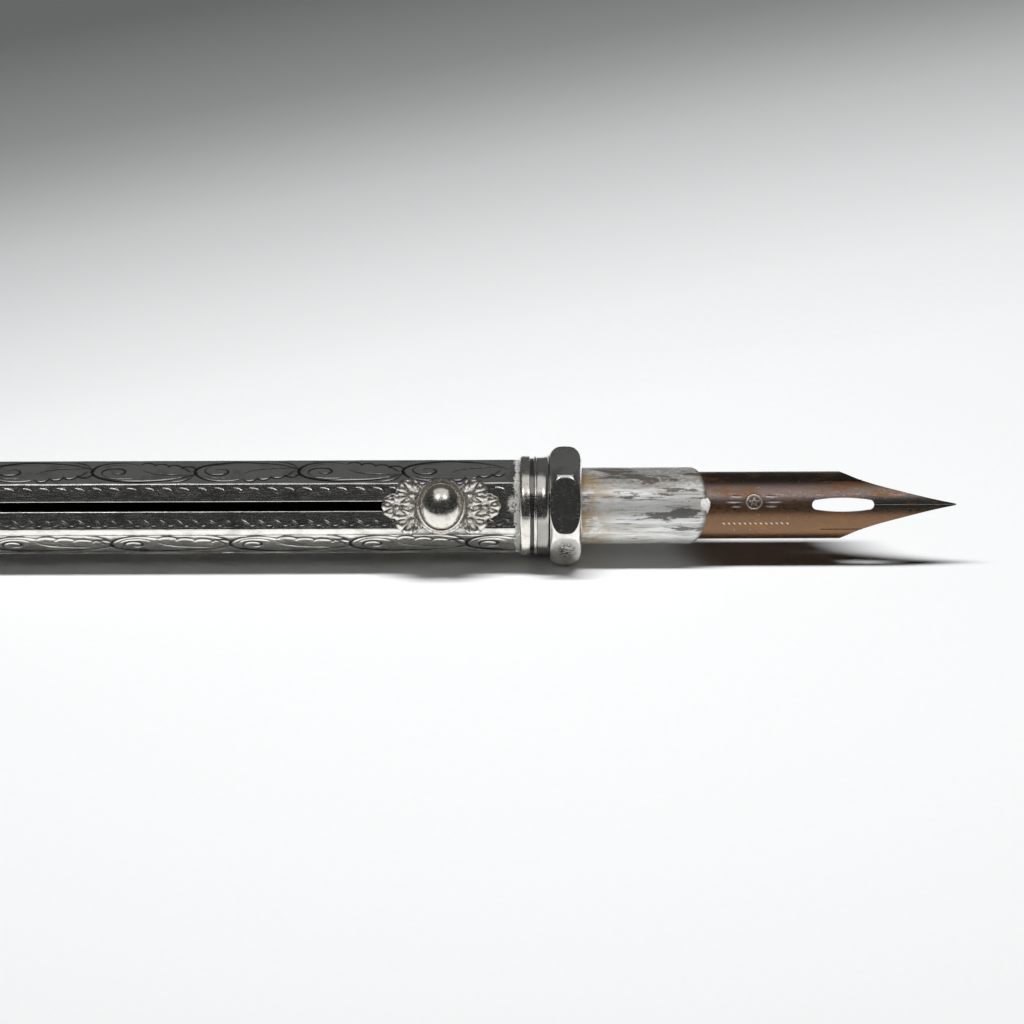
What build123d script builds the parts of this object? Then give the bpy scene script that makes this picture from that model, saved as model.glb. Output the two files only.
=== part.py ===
"""Pocket dip pen holder with a sliding nib, in silver, lying on its two hexagonal collars.

An engraved hexagonal barrel carries a turned neck and a faceted collar at each end. A foliate
thumb button runs in a slot along one flat. Its shank is fixed to a carriage tube inside the
barrel, which pushes the nib sleeve and its steel nib out through the front collar, or draws
them in. The pen is drawn with the nib out.

Frame: +X along the pen towards the nib, +Z up, origin on the resting surface below the middle
of the pen's length. The slotted flat faces -Y, tilted 30 degrees up. Millimetres throughout.
"""

from build123d import *

import os
from math import cos, radians, sin, sqrt

os.makedirs("parts", exist_ok=True)

# ---------------------------------------------------------------- driving dimensions
# An x is measured along the pen from the front face of the front collar, positive to the nib.

BARREL_FLATS = 6.85  # hexagonal barrel, outside, across flats
BARREL_WALL = 0.20
SLOT_WIDTH = 0.80
SLOT_TILT = 30.0  # the slotted flat's normal, degrees above horizontal
SLOT_END_GAP = 0.05  # between the shank and either end of the slot

COLLAR_FLATS = 8.70  # hexagonal collar, across flats
COLLAR_RADIUS = 4.95  # over its turned corners
COLLAR_LENGTH = 2.75
COLLAR_BORE = 3.30  # radius
COLLAR_BACK_ROUND = 0.70
COLLAR_FACE_ROUND = 0.92
COUNTERBORE_DEPTH = 2.45

BAND_RADIUS = 4.17
BAND_LENGTH = 0.87
BAND_ROUND = 0.12
NECK_LENGTH = 1.52
NECK_RADIUS = 4.07
NECK_FLARE = 4.33  # radius where the neck meets the collar, inside the flats it lies on
NECK_COVE = 0.62  # length of the flare
GROOVE_RADIUS = 3.99
BEAD_RADIUS = 4.13
BEAD_WIDTH = 0.30
BEAD_SETBACK = 0.43  # from the neck's back face to the middle of the bead

TUBE_RADIUS = 3.18  # sleeve and carriage tube, outside
TUBE_BORE = 2.88  # radius
MOUTH_X = 9.20  # the sleeve's mouth, on the pen's axis
MOUTH_LEAN = 0.39  # how far the mouth runs forward for each millimetre towards the slot side
TUBE_JOINT_X = -7.20  # where the sleeve and the carriage tube butt
TAIL_X = -16.50  # rear end of the carriage tube, hidden under the button plate

BUTTON_X = -11.65  # middle of the thumb button with the nib out
TRAVEL = 40.0
SHANK_LENGTH = 2.40
SHANK_WIDTH = 0.66
SHANK_PLAY = 0.04  # in the holes of the carriage tube and the button plate
PLATE_UNDERSIDE = 3.53  # distances out from the pen's axis
PLATE_TOP = 3.98
BEZEL_TOP = 4.72
DOME_TOP = 5.90

NIB_TIP_X = 31.0
NIB_REAR_X = -4.90
NIB_RADIUS = 2.80  # outside of the formed steel
NIB_THICKNESS = 0.25

PLUG_LENGTH = 4.0  # the rear plug, inside the barrel
REAR_PLAY = 0.85  # between the drawn-in carriage and the rear plug
FINIAL_LENGTH = 6.85
BALL_RADIUS = 1.15
BALL_SEAT = 0.25  # how much of the ball its flat seat takes away

FIT = 0.01  # clearance between pieces that are soldered, pressed or riveted together

# ---------------------------------------------------------------- worked out from them

BARREL_FRONT_X = -COLLAR_LENGTH
BARREL_REAR_X = TAIL_X - TRAVEL - REAR_PLAY - PLUG_LENGTH
BARREL_BORE_FLATS = BARREL_FLATS - 2 * BARREL_WALL
REAR_FACE_X = BARREL_REAR_X - COLLAR_LENGTH
FINIAL_TIP_X = REAR_FACE_X - FINIAL_LENGTH
REAR_END_X = FINIAL_TIP_X - 2 * BALL_RADIUS + BALL_SEAT
COLLAR_FACE_X = -(NIB_TIP_X + REAR_END_X) / 2  # puts the origin below the middle of the length

# ---------------------------------------------------------------- the pen's own planes

tilt = radians(SLOT_TILT)
PEN = Plane(
    origin=(COLLAR_FACE_X, 0, COLLAR_FLATS / 2),
    x_dir=(1, 0, 0),
    z_dir=(0, -cos(tilt), sin(tilt)),
)  # its x runs along the pen and its z out of the slotted flat
AXIS = Axis(PEN.origin, PEN.x_dir)
PROFILE = Plane(PEN.origin, x_dir=PEN.x_dir, z_dir=-PEN.y_dir)  # x along the pen, y outwards


def across(x):
    """A plane square to the pen at x, whose y axis points out of the slotted flat."""
    return Plane(PEN.from_local_coords((x, 0, 0)), x_dir=PEN.y_dir, z_dir=PEN.x_dir)


def facing(x, direction, distance=0):
    """A plane that faces away from the pen's axis at x, at a distance out from the axis."""
    origin = PEN.from_local_coords((x, 0, 0)) + direction * distance
    return Plane(origin, x_dir=PEN.x_dir, z_dir=direction)


# ---------------------------------------------------------------- shapes used more than once


def hexagon(flats, mode=Mode.ADD):
    """A hexagon with a flat square to the sketch's y axis."""
    RegularPolygon(flats / 2, 6, major_radius=False, mode=mode)


def tube(x_from, x_to, radius, bore):
    """A round tube on the pen's axis."""
    with BuildSketch(across(x_from)) as section:
        Circle(radius)
        Circle(bore, mode=Mode.SUBTRACT)
    extrude(section.sketch, amount=x_to - x_from)


def rod(plane, radius, length, mode=Mode.ADD):
    """A round rod, or with Mode.SUBTRACT a drilled hole, that starts on the plane."""
    with BuildSketch(plane) as section:
        Circle(radius)
    extrude(section.sketch, amount=length, mode=mode)


def save(builder, name):
    """Labels a finished piece and writes it to its own file."""
    builder.part.label = name
    export_step(builder.part, f"parts/{name}.step")


# ---------------------------------------------------------------- barrel

slot_front_x = BUTTON_X + SHANK_LENGTH / 2 + SLOT_END_GAP
slot_rear_x = BUTTON_X - TRAVEL - SHANK_LENGTH / 2 - SLOT_END_GAP
slot_middle_x = (slot_front_x + slot_rear_x) / 2

with BuildPart() as barrel:
    with BuildSketch(across(BARREL_REAR_X)):
        hexagon(BARREL_FLATS)
        hexagon(BARREL_BORE_FLATS, mode=Mode.SUBTRACT)
    extrude(amount=BARREL_FRONT_X - BARREL_REAR_X)
    with BuildSketch(facing(slot_middle_x, PEN.z_dir)):
        Rectangle(slot_front_x - slot_rear_x, SLOT_WIDTH)
    extrude(amount=BARREL_FLATS, mode=Mode.SUBTRACT)
save(barrel, "barrel")

# ---------------------------------------------------------------- front mounts of the barrel

neck_back_x = BARREL_FRONT_X - NECK_LENGTH
band_back_x = neck_back_x - BAND_LENGTH
bead_x = neck_back_x + BEAD_SETBACK
seat_front_x = bead_x + BEAD_WIDTH / 2
cove_x = BARREL_FRONT_X - NECK_COVE

with BuildPart() as front_band:
    with BuildSketch(across(band_back_x)):
        Circle(BAND_RADIUS)
        hexagon(BARREL_FLATS, mode=Mode.SUBTRACT)
    extrude(amount=BAND_LENGTH)
    fillet(front_band.edges().filter_by(GeomType.CIRCLE), BAND_ROUND)
save(front_band, "front_band")

with BuildPart() as front_neck:
    with BuildSketch(PROFILE):
        with BuildLine():
            steps = Polyline(
                (BARREL_FRONT_X, 0),
                (neck_back_x, 0),
                (neck_back_x, GROOVE_RADIUS),
                (seat_front_x, GROOVE_RADIUS),
                (seat_front_x, NECK_RADIUS),
                (cove_x, NECK_RADIUS),
            )
            cove = TangentArc(steps @ 1, (BARREL_FRONT_X, NECK_FLARE), tangent=(1, 0))
            Line(cove @ 1, steps @ 0)
        make_face()
    revolve(axis=AXIS)
    with BuildSketch(across(neck_back_x)):
        hexagon(BARREL_FLATS)
    extrude(amount=NECK_LENGTH, mode=Mode.SUBTRACT)
save(front_neck, "front_neck")

with BuildPart() as front_bead:
    with BuildSketch(PROFILE):
        with BuildLine():
            crown = ThreePointArc(
                (bead_x - BEAD_WIDTH / 2 + FIT, GROOVE_RADIUS + FIT),
                (bead_x, BEAD_RADIUS),
                (bead_x + BEAD_WIDTH / 2 - FIT, GROOVE_RADIUS + FIT),
            )
            Line(crown @ 1, crown @ 0)
        make_face()
    revolve(axis=AXIS)
save(front_bead, "front_bead")

BUSH_RADIUS = 3.70
BUSH_BORE = 3.22  # radius, a running fit on the sleeve

with BuildPart() as front_collar:
    with BuildSketch(PROFILE):
        with Locations((-COLLAR_LENGTH / 2, COLLAR_RADIUS / 2)):
            blank = Rectangle(COLLAR_LENGTH, COLLAR_RADIUS)
        back_corner, face_corner = blank.vertices().group_by(Axis.Y)[-1].sort_by(Axis.X)
        fillet(back_corner, COLLAR_BACK_ROUND)
        fillet(face_corner, COLLAR_FACE_ROUND)
    revolve(axis=AXIS)
    with BuildSketch(across(-COLLAR_LENGTH)):
        hexagon(COLLAR_FLATS)
    extrude(amount=COLLAR_LENGTH, mode=Mode.INTERSECT)
    rod(across(-COLLAR_LENGTH), COLLAR_BORE, COLLAR_LENGTH, mode=Mode.SUBTRACT)
    rod(across(-COLLAR_LENGTH), BUSH_RADIUS, COUNTERBORE_DEPTH, mode=Mode.SUBTRACT)
save(front_collar, "front_collar")

with BuildPart() as front_guide_bush:
    tube(BARREL_FRONT_X, BARREL_FRONT_X + COUNTERBORE_DEPTH, BUSH_RADIUS - FIT, BUSH_BORE)
save(front_guide_bush, "front_guide_bush")

# ---------------------------------------------------------------- rear end of the barrel

BARREL_MIDDLE = across((BARREL_FRONT_X + BARREL_REAR_X) / 2)

with BuildPart() as rear_band:
    mirror(front_band.part, about=BARREL_MIDDLE)
save(rear_band, "rear_band")

with BuildPart() as rear_neck:
    mirror(front_neck.part, about=BARREL_MIDDLE)
save(rear_neck, "rear_neck")

with BuildPart() as rear_bead:
    mirror(front_bead.part, about=BARREL_MIDDLE)
save(rear_bead, "rear_bead")

with BuildPart() as rear_collar:
    mirror(front_collar.part, about=BARREL_MIDDLE)
save(rear_collar, "rear_collar")

TENON_RADIUS = 1.60  # the finial's tenon, in the rear plug
SPIGOT_RADIUS = COLLAR_BORE - FIT
plug_back_x = BARREL_REAR_X - COUNTERBORE_DEPTH

with BuildPart() as rear_plug:
    rod(across(plug_back_x), BUSH_RADIUS - FIT, COUNTERBORE_DEPTH)
    with BuildSketch(across(BARREL_REAR_X)):
        hexagon(BARREL_BORE_FLATS - 2 * FIT)
    extrude(amount=PLUG_LENGTH)
    rod(across(plug_back_x), TENON_RADIUS + FIT, COUNTERBORE_DEPTH + PLUG_LENGTH / 2, mode=Mode.SUBTRACT)
save(rear_plug, "rear_plug")

FINIAL_FOOT_RADIUS = 3.70
FINIAL_FOOT_BULGE = 0.20
FINIAL_WAIST_RADIUS = 1.90
FINIAL_BULB_RADIUS = 2.55
FINIAL_NECK_RADIUS = 0.95
BALL_PIN_RADIUS = 0.40
BALL_PIN_LENGTH = 1.60
foot_x = REAR_FACE_X - 0.75
waist_start_x = foot_x - 1.35
waist_end_x = waist_start_x - 0.25
bulb_x = waist_start_x - 2.05

with BuildPart() as finial:
    with BuildSketch(PROFILE):
        with BuildLine():
            tenon = Polyline(
                (BARREL_REAR_X, 0),
                (BARREL_REAR_X, TENON_RADIUS),
                (plug_back_x, TENON_RADIUS),
                (plug_back_x, SPIGOT_RADIUS),
                (REAR_FACE_X, SPIGOT_RADIUS),
                (REAR_FACE_X, FINIAL_FOOT_RADIUS),
            )
            edge = ThreePointArc(
                tenon @ 1,
                ((REAR_FACE_X + foot_x) / 2, FINIAL_FOOT_RADIUS + FINIAL_FOOT_BULGE),
                (foot_x, FINIAL_FOOT_RADIUS),
            )
            cove = TangentArc(edge @ 1, (waist_start_x, FINIAL_WAIST_RADIUS), tangent=(0, -1))
            waist = Line(cove @ 1, (waist_end_x, FINIAL_WAIST_RADIUS))
            bulb = ThreePointArc(
                waist @ 1,
                (bulb_x, FINIAL_BULB_RADIUS),
                (FINIAL_TIP_X, FINIAL_NECK_RADIUS),
            )
            Polyline(bulb @ 1, (FINIAL_TIP_X, 0), tenon @ 0)
        make_face()
    revolve(axis=AXIS)
    rod(across(FINIAL_TIP_X), BALL_PIN_RADIUS + FIT, BALL_PIN_LENGTH, mode=Mode.SUBTRACT)
save(finial, "finial")

ball_x = REAR_END_X + BALL_RADIUS
ball_seat_radius = sqrt(BALL_RADIUS**2 - (FINIAL_TIP_X - ball_x) ** 2)
pin_end_x = FINIAL_TIP_X + BALL_PIN_LENGTH - FIT

with BuildPart() as finial_ball:
    with BuildSketch(PROFILE):
        with BuildLine():
            skin = ThreePointArc(
                (FINIAL_TIP_X, ball_seat_radius), (ball_x, BALL_RADIUS), (REAR_END_X, 0)
            )
            Polyline(
                skin @ 1,
                (pin_end_x, 0),
                (pin_end_x, BALL_PIN_RADIUS),
                (FINIAL_TIP_X, BALL_PIN_RADIUS),
                skin @ 0,
            )
        make_face()
    revolve(axis=AXIS)
save(finial_ball, "finial_ball")

# ---------------------------------------------------------------- carriage, inside the barrel

RIVET_X = -10.40
RIVET_RADIUS = 0.35
SPRING_WINDOW_LENGTH = 4.6
SPRING_WINDOW_PLAY = 0.4
SPRING_CROWN_X = -13.3
SPRING_WIDTH = 1.6
COUPLING_PIN_X = -6.10
COUPLING_PIN_RADIUS = 0.30
COUPLING_PIN_FOOT = 2.0  # inner end of each pin, out from the axis
PIN_SINK = 0.04  # pins and rivets end this far below the tube's surface

with BuildPart() as carriage_tube:
    tube(TAIL_X, TUBE_JOINT_X, TUBE_RADIUS, TUBE_BORE)
    with BuildSketch(facing(BUTTON_X, PEN.z_dir)):
        Rectangle(SHANK_LENGTH + SHANK_PLAY, SHANK_WIDTH + SHANK_PLAY)
    extrude(amount=TUBE_RADIUS + 1, mode=Mode.SUBTRACT)
    with BuildSketch(facing(SPRING_CROWN_X, -PEN.z_dir)):
        Rectangle(SPRING_WINDOW_LENGTH, SPRING_WIDTH + SPRING_WINDOW_PLAY)
    extrude(amount=TUBE_RADIUS + 1, mode=Mode.SUBTRACT)
    rod(facing(RIVET_X, -PEN.z_dir), RIVET_RADIUS + FIT, TUBE_RADIUS + 1, mode=Mode.SUBTRACT)
save(carriage_tube, "carriage_tube")

FOOT_LENGTH = 4.0
FOOT_WIDTH = 2.2
FOOT_UNDERSIDE = 2.20
FOOT_TOP = 2.65

with BuildPart() as button_shank:
    with BuildSketch(facing(BUTTON_X, PEN.z_dir, FOOT_UNDERSIDE)):
        Rectangle(FOOT_LENGTH, FOOT_WIDTH)
    extrude(amount=FOOT_TOP - FOOT_UNDERSIDE)
    with BuildSketch(facing(BUTTON_X, PEN.z_dir, FOOT_TOP)):
        Rectangle(SHANK_LENGTH, SHANK_WIDTH)
    extrude(amount=PLATE_TOP - FOOT_TOP)
save(button_shank, "button_shank")

SPRING_THICKNESS = 0.20
SPRING_SEAT = 2.75  # outer face of the flat ends, out from the axis
SPRING_CROWN = 3.19
SPRING_BOW_LENGTH = 4.0
SPRING_END_GAP = 0.25  # from the leaf to the tube's rear end
spring_rear_x = TAIL_X + SPRING_END_GAP
spring_front_x = RIVET_X + 0.75


def bow(offset):
    """The leaf's bowed outline on the side away from the slot, one face's offset inwards."""
    return ThreePointArc(
        (SPRING_CROWN_X - SPRING_BOW_LENGTH / 2, -SPRING_SEAT + offset),
        (SPRING_CROWN_X, -SPRING_CROWN + offset),
        (SPRING_CROWN_X + SPRING_BOW_LENGTH / 2, -SPRING_SEAT + offset),
    )


with BuildPart() as friction_spring:
    with BuildSketch(PROFILE):
        with BuildLine():
            outer = bow(0)
            inner = bow(SPRING_THICKNESS)
            for x_end, end in ((spring_rear_x, 0), (spring_front_x, 1)):
                Polyline(
                    outer @ end,
                    (x_end, -SPRING_SEAT),
                    (x_end, -SPRING_SEAT + SPRING_THICKNESS),
                    inner @ end,
                )
        make_face()
    extrude(amount=SPRING_WIDTH / 2, both=True)
    rod(facing(RIVET_X, -PEN.z_dir), RIVET_RADIUS + FIT, TUBE_RADIUS, mode=Mode.SUBTRACT)
save(friction_spring, "friction_spring")

RIVET_HEAD_RADIUS = 0.60
RIVET_HEAD = 0.25
head_top = SPRING_SEAT - SPRING_THICKNESS - RIVET_HEAD

with BuildPart() as spring_rivet:
    rod(facing(RIVET_X, -PEN.z_dir, head_top), RIVET_HEAD_RADIUS, RIVET_HEAD)
    rod(facing(RIVET_X, -PEN.z_dir, head_top), RIVET_RADIUS, TUBE_RADIUS - PIN_SINK - head_top)
save(spring_rivet, "spring_rivet")

PLUG_BACK_X = -9.50
PLUG_SHOULDER_X = -5.0
CORE_TENON_X = -2.5
CORE_RADIUS = 2.50
CORE_BORE = 2.20

with BuildPart() as coupling_plug:
    rod(across(PLUG_BACK_X), TUBE_BORE - FIT, PLUG_SHOULDER_X - PLUG_BACK_X)
    rod(across(PLUG_SHOULDER_X), CORE_BORE - FIT, CORE_TENON_X - PLUG_SHOULDER_X)
    for side in (PEN.y_dir, -PEN.y_dir):
        seat = facing(COUPLING_PIN_X, side, COUPLING_PIN_FOOT)
        rod(seat, COUPLING_PIN_RADIUS + FIT, TUBE_RADIUS, mode=Mode.SUBTRACT)
save(coupling_plug, "coupling_plug")

pin_length = TUBE_RADIUS - PIN_SINK - COUPLING_PIN_FOOT

with BuildPart() as coupling_pins:
    for side in (PEN.y_dir, -PEN.y_dir):
        seat = facing(COUPLING_PIN_X, side, COUPLING_PIN_FOOT)
        rod(seat, COUPLING_PIN_RADIUS, pin_length)
save(coupling_pins, "coupling_pins")

# ---------------------------------------------------------------- nib sleeve and nib holder

with BuildPart() as nib_sleeve:
    tube(TUBE_JOINT_X, MOUTH_X + 2, TUBE_RADIUS, TUBE_BORE)
    reach = TUBE_RADIUS + 1
    with BuildSketch(PROFILE):
        with BuildLine():
            Polyline(
                (MOUTH_X - MOUTH_LEAN * reach, -reach),
                (MOUTH_X + MOUTH_LEAN * reach, reach),
                (MOUTH_X + 2 * reach, reach),
                (MOUTH_X + 2 * reach, -reach),
                close=True,
            )
        make_face()
    extrude(amount=reach, both=True, mode=Mode.SUBTRACT)
    for side in (PEN.y_dir, -PEN.y_dir):
        rod(facing(COUPLING_PIN_X, side), COUPLING_PIN_RADIUS + FIT, reach, mode=Mode.SUBTRACT)
save(nib_sleeve, "nib_sleeve")

CORE_FRONT_X = 7.5
CORE_SPLIT = 0.5

with BuildPart() as nib_core:
    tube(PLUG_SHOULDER_X, CORE_FRONT_X, CORE_RADIUS, CORE_BORE)
    core_length = CORE_FRONT_X - PLUG_SHOULDER_X
    with BuildSketch(facing(PLUG_SHOULDER_X + core_length / 2, -PEN.z_dir)):
        Rectangle(core_length + 1, CORE_SPLIT)
    extrude(amount=CORE_RADIUS + 1, mode=Mode.SUBTRACT)
save(nib_core, "nib_core")

# ---------------------------------------------------------------- thumb button

SIDE_LOBE_OFFSET = 3.92
SIDE_LOBE_RADIUS = 1.04
CORNER_LOBE_RADIUS = 1.17
CORNER_LOBE_ALONG = 2.67  # the corner lobes' centres, along and across the pen
CORNER_LOBE_ACROSS = 1.20
PLATE_MARGIN = 0.20  # of plate around the bezel
BEZEL_HALF_LENGTH = 2.05
BEZEL_HALF_WIDTH = 2.20
DOME_HALF_LENGTH = 1.60
DOME_HALF_WIDTH = 1.92
DOME_CROWN_RADIUS = 2.25

with BuildPart() as button_plate:
    with BuildSketch(facing(BUTTON_X, PEN.z_dir, PLATE_UNDERSIDE)):
        Ellipse(BEZEL_HALF_LENGTH + PLATE_MARGIN, BEZEL_HALF_WIDTH + PLATE_MARGIN)
        Rectangle(2 * SIDE_LOBE_OFFSET, SIDE_LOBE_RADIUS)
        Rectangle(2 * CORNER_LOBE_ALONG, 2 * CORNER_LOBE_ACROSS + CORNER_LOBE_RADIUS)
        with GridLocations(2 * CORNER_LOBE_ALONG, 2 * CORNER_LOBE_ACROSS, 2, 2):
            Circle(CORNER_LOBE_RADIUS)
        with GridLocations(2 * SIDE_LOBE_OFFSET, 0, 2, 1):
            Circle(SIDE_LOBE_RADIUS)
        Rectangle(SHANK_LENGTH + SHANK_PLAY, SHANK_WIDTH + SHANK_PLAY, mode=Mode.SUBTRACT)
    extrude(amount=PLATE_TOP - PLATE_UNDERSIDE)
save(button_plate, "button_plate")

with BuildPart() as button_bezel:
    with BuildSketch(facing(BUTTON_X, PEN.z_dir, PLATE_TOP)):
        Ellipse(BEZEL_HALF_LENGTH, BEZEL_HALF_WIDTH)
        Ellipse(DOME_HALF_LENGTH + FIT, DOME_HALF_WIDTH + FIT, mode=Mode.SUBTRACT)
    extrude(amount=BEZEL_TOP - PLATE_TOP)
    rim = button_bezel.faces().sort_by(Axis(PEN.origin, PEN.z_dir))[-1]
    fillet(rim.outer_wire().edges(), 0.2)
save(button_bezel, "button_bezel")

with BuildPart() as button_dome:
    with Locations(facing(BUTTON_X, PEN.z_dir, DOME_TOP - DOME_CROWN_RADIUS)):
        Sphere(DOME_CROWN_RADIUS)
    with BuildSketch(facing(BUTTON_X, PEN.z_dir, PLATE_TOP)):
        Ellipse(DOME_HALF_LENGTH, DOME_HALF_WIDTH)
    extrude(amount=DOME_TOP - PLATE_TOP, mode=Mode.INTERSECT)
save(button_dome, "button_dome")

# ---------------------------------------------------------------- steel nib

NIB_SHOULDER_X = 21.45
NIB_HALF_ARC = 86.0  # degrees either side of the middle
SHOULDER_CUT = (22.95, 2.13)  # where the clipped shoulder meets the tine, x and half width
TINE = ((24.20, 1.72), (26.65, 1.06), (29.44, 0.38))  # the tine's edge, x and half width
TIP_HALF_WIDTH = 0.06
HOLE_MIDDLE_X = 21.65
HOLE_LENGTH = 5.14
HOLE_WIDTH = 1.24
HOLE_END_WIDTH = 0.88  # between the ends of the hole's bowed sides
HOLE_END_DEPTH = 0.42
SLIT_WIDTH = 0.05
SIDE_SLIT_WIDTH = 0.09
SIDE_SLIT_REAR_X = 19.8
SIDE_SLIT_LENGTH = 4.0
SIDE_SLIT_ANGLE = 46.5

nib_half_width = NIB_RADIUS * sin(radians(NIB_HALF_ARC))
nib_cut_depth = NIB_RADIUS * cos(radians(NIB_HALF_ARC))
slit_length = NIB_TIP_X - HOLE_MIDDLE_X + 1

with BuildPart() as nib:
    tube(NIB_REAR_X, NIB_TIP_X, NIB_RADIUS, NIB_RADIUS - NIB_THICKNESS)
    with BuildSketch(facing(0, PEN.z_dir, nib_cut_depth)):
        with BuildLine():
            edge = Polyline(
                (NIB_REAR_X, 0),
                (NIB_REAR_X, nib_half_width),
                (NIB_SHOULDER_X, nib_half_width),
                SHOULDER_CUT,
            )
            tine = Spline(edge @ 1, *TINE, (NIB_TIP_X, TIP_HALF_WIDTH))
            Line(tine @ 1, (NIB_TIP_X, 0))
            mirror(about=Plane.XZ)
        make_face()
    extrude(amount=NIB_RADIUS + 1, mode=Mode.INTERSECT)
    with BuildSketch(facing(HOLE_MIDDLE_X, PEN.z_dir)):
        with BuildLine():
            end_x = HOLE_LENGTH / 2 - HOLE_END_DEPTH
            side = ThreePointArc(
                (-end_x, HOLE_END_WIDTH / 2), (0, HOLE_WIDTH / 2), (end_x, HOLE_END_WIDTH / 2)
            )
            for end, x_end in ((0, -HOLE_LENGTH / 2), (1, HOLE_LENGTH / 2)):
                corner = side @ end
                ThreePointArc(corner, (x_end, 0), (corner.X, -corner.Y))
            mirror(side, about=Plane.XZ)
        make_face()
    extrude(amount=NIB_RADIUS + 1, mode=Mode.SUBTRACT)
    with BuildSketch(facing(HOLE_MIDDLE_X + slit_length / 2, PEN.z_dir)):
        Rectangle(slit_length, SLIT_WIDTH)
    extrude(amount=NIB_RADIUS + 1, mode=Mode.SUBTRACT)
    for angle in (SIDE_SLIT_ANGLE, -SIDE_SLIT_ANGLE):
        outwards = PEN.z_dir.rotate(AXIS, angle)
        with BuildSketch(facing(SIDE_SLIT_REAR_X + SIDE_SLIT_LENGTH / 2, outwards)):
            Rectangle(SIDE_SLIT_LENGTH, SIDE_SLIT_WIDTH)
        extrude(amount=NIB_RADIUS + 1, mode=Mode.SUBTRACT)
save(nib, "nib")
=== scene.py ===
"""Looks of the pocket dip pen holder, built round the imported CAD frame.

Shapes are worked out in the pen's own millimetres: x along the pen from the front face of the
front collar, y across the slotted flat, z out of it. place() turns them into the frame's metres.
Angles round the pen run from its y axis towards its z axis.
"""

from math import asin, atan2, cos, exp, pi, radians, sin, sqrt

import bmesh
import bpy
import numpy as np
from mathutils import Matrix, Vector
from mathutils.geometry import delaunay_2d_cdt


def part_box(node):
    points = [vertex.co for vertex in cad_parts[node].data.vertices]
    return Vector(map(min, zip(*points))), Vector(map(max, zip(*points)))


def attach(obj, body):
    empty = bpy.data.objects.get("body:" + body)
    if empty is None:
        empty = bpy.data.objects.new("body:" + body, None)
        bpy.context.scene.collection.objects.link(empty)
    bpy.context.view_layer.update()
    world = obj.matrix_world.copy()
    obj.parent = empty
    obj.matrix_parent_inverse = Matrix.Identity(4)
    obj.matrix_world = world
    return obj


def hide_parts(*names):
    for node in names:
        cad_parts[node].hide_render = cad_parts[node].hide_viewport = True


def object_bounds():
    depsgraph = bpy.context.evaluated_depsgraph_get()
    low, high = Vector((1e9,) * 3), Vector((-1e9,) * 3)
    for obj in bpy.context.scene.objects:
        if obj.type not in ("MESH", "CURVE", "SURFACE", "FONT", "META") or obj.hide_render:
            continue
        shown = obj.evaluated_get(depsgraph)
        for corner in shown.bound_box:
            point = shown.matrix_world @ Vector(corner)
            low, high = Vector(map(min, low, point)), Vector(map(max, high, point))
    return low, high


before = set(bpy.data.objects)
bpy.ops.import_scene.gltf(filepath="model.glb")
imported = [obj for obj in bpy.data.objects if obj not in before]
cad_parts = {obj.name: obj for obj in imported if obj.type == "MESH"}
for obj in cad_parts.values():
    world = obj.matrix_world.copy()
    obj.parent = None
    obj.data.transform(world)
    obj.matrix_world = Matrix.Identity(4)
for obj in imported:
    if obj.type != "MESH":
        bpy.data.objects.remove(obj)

cad_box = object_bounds()

# ---------------- the pen's frame

MM = 0.001
TILT = radians(30)
OUT = np.array((0, -cos(TILT), sin(TILT)))  # out of the slotted flat
UP = np.array((0, sin(TILT), cos(TILT)))  # across the slotted flat
ALONG = np.array((1.0, 0, 0))

barrel_low, barrel_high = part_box("barrel")
AXIS_POINT = np.array((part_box("front_collar")[1].x, 0, (barrel_low.z + barrel_high.z) / 2))


def ends(node):
    """Where a CAD node starts and ends along the pen, in millimetres."""
    return [(corner.x - AXIS_POINT[0]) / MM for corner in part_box(node)]


BARREL_REAR, BARREL_FRONT = ends("barrel")
BAND_REAR, BAND_FRONT = ends("front_band")
NIB_REAR, NIB_TIP = ends("nib")
SLEEVE_REAR = ends("nib_sleeve")[0]
REAR_FACE = ends("rear_collar")[0]
REAR_END = ends("finial_ball")[0]
BUTTON_X = sum(ends("button_dome")) / 2


def place(points):
    """Pen millimetres to frame metres."""
    points = np.asarray(points, float).reshape(-1, 3)
    turned_to = points[:, :1] * ALONG + points[:, 1:2] * UP + points[:, 2:3] * OUT
    return turned_to * MM + AXIS_POINT


WOBBLE_REACH = 2.2  # how far the octaves' sum reaches


def wobble(values, seed, octaves=5):
    """Smooth seeded noise of one variable, between about -1 and 1."""
    random = np.random.default_rng(seed)
    total = np.zeros_like(np.asarray(values, float))
    for octave in range(octaves):
        turns = 2**octave * (1 + 0.3 * random.random())
        total = total + np.sin(2 * pi * (values * turns + random.random())) / 1.5**octave
    return total / WOBBLE_REACH


# ---------------- mesh helpers

SAME_POINT = 2e-7  # metres
NO_LENGTH = 1e-7
SIDES = 192
ROUND = np.radians(np.arange(SIDES) * 360 / SIDES)  # from the pen's y axis towards its z axis


def quads(rows, columns, close_rows=False, first=0):
    """Faces between rows of points, each row a closed loop."""
    row = np.arange(rows if close_rows else rows - 1)[:, None]
    column = np.arange(columns)
    next_row = (row + 1) % rows
    next_column = (column + 1) % columns
    corners = [row * columns + column, row * columns + next_column]
    corners += [next_row * columns + next_column, next_row * columns + column]
    return (np.stack(corners, -1).reshape(-1, 4) + first).tolist()


def add(name, data):
    """A new object in the scene."""
    made = bpy.data.objects.new(name, data)
    bpy.context.scene.collection.objects.link(made)
    return made


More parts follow.
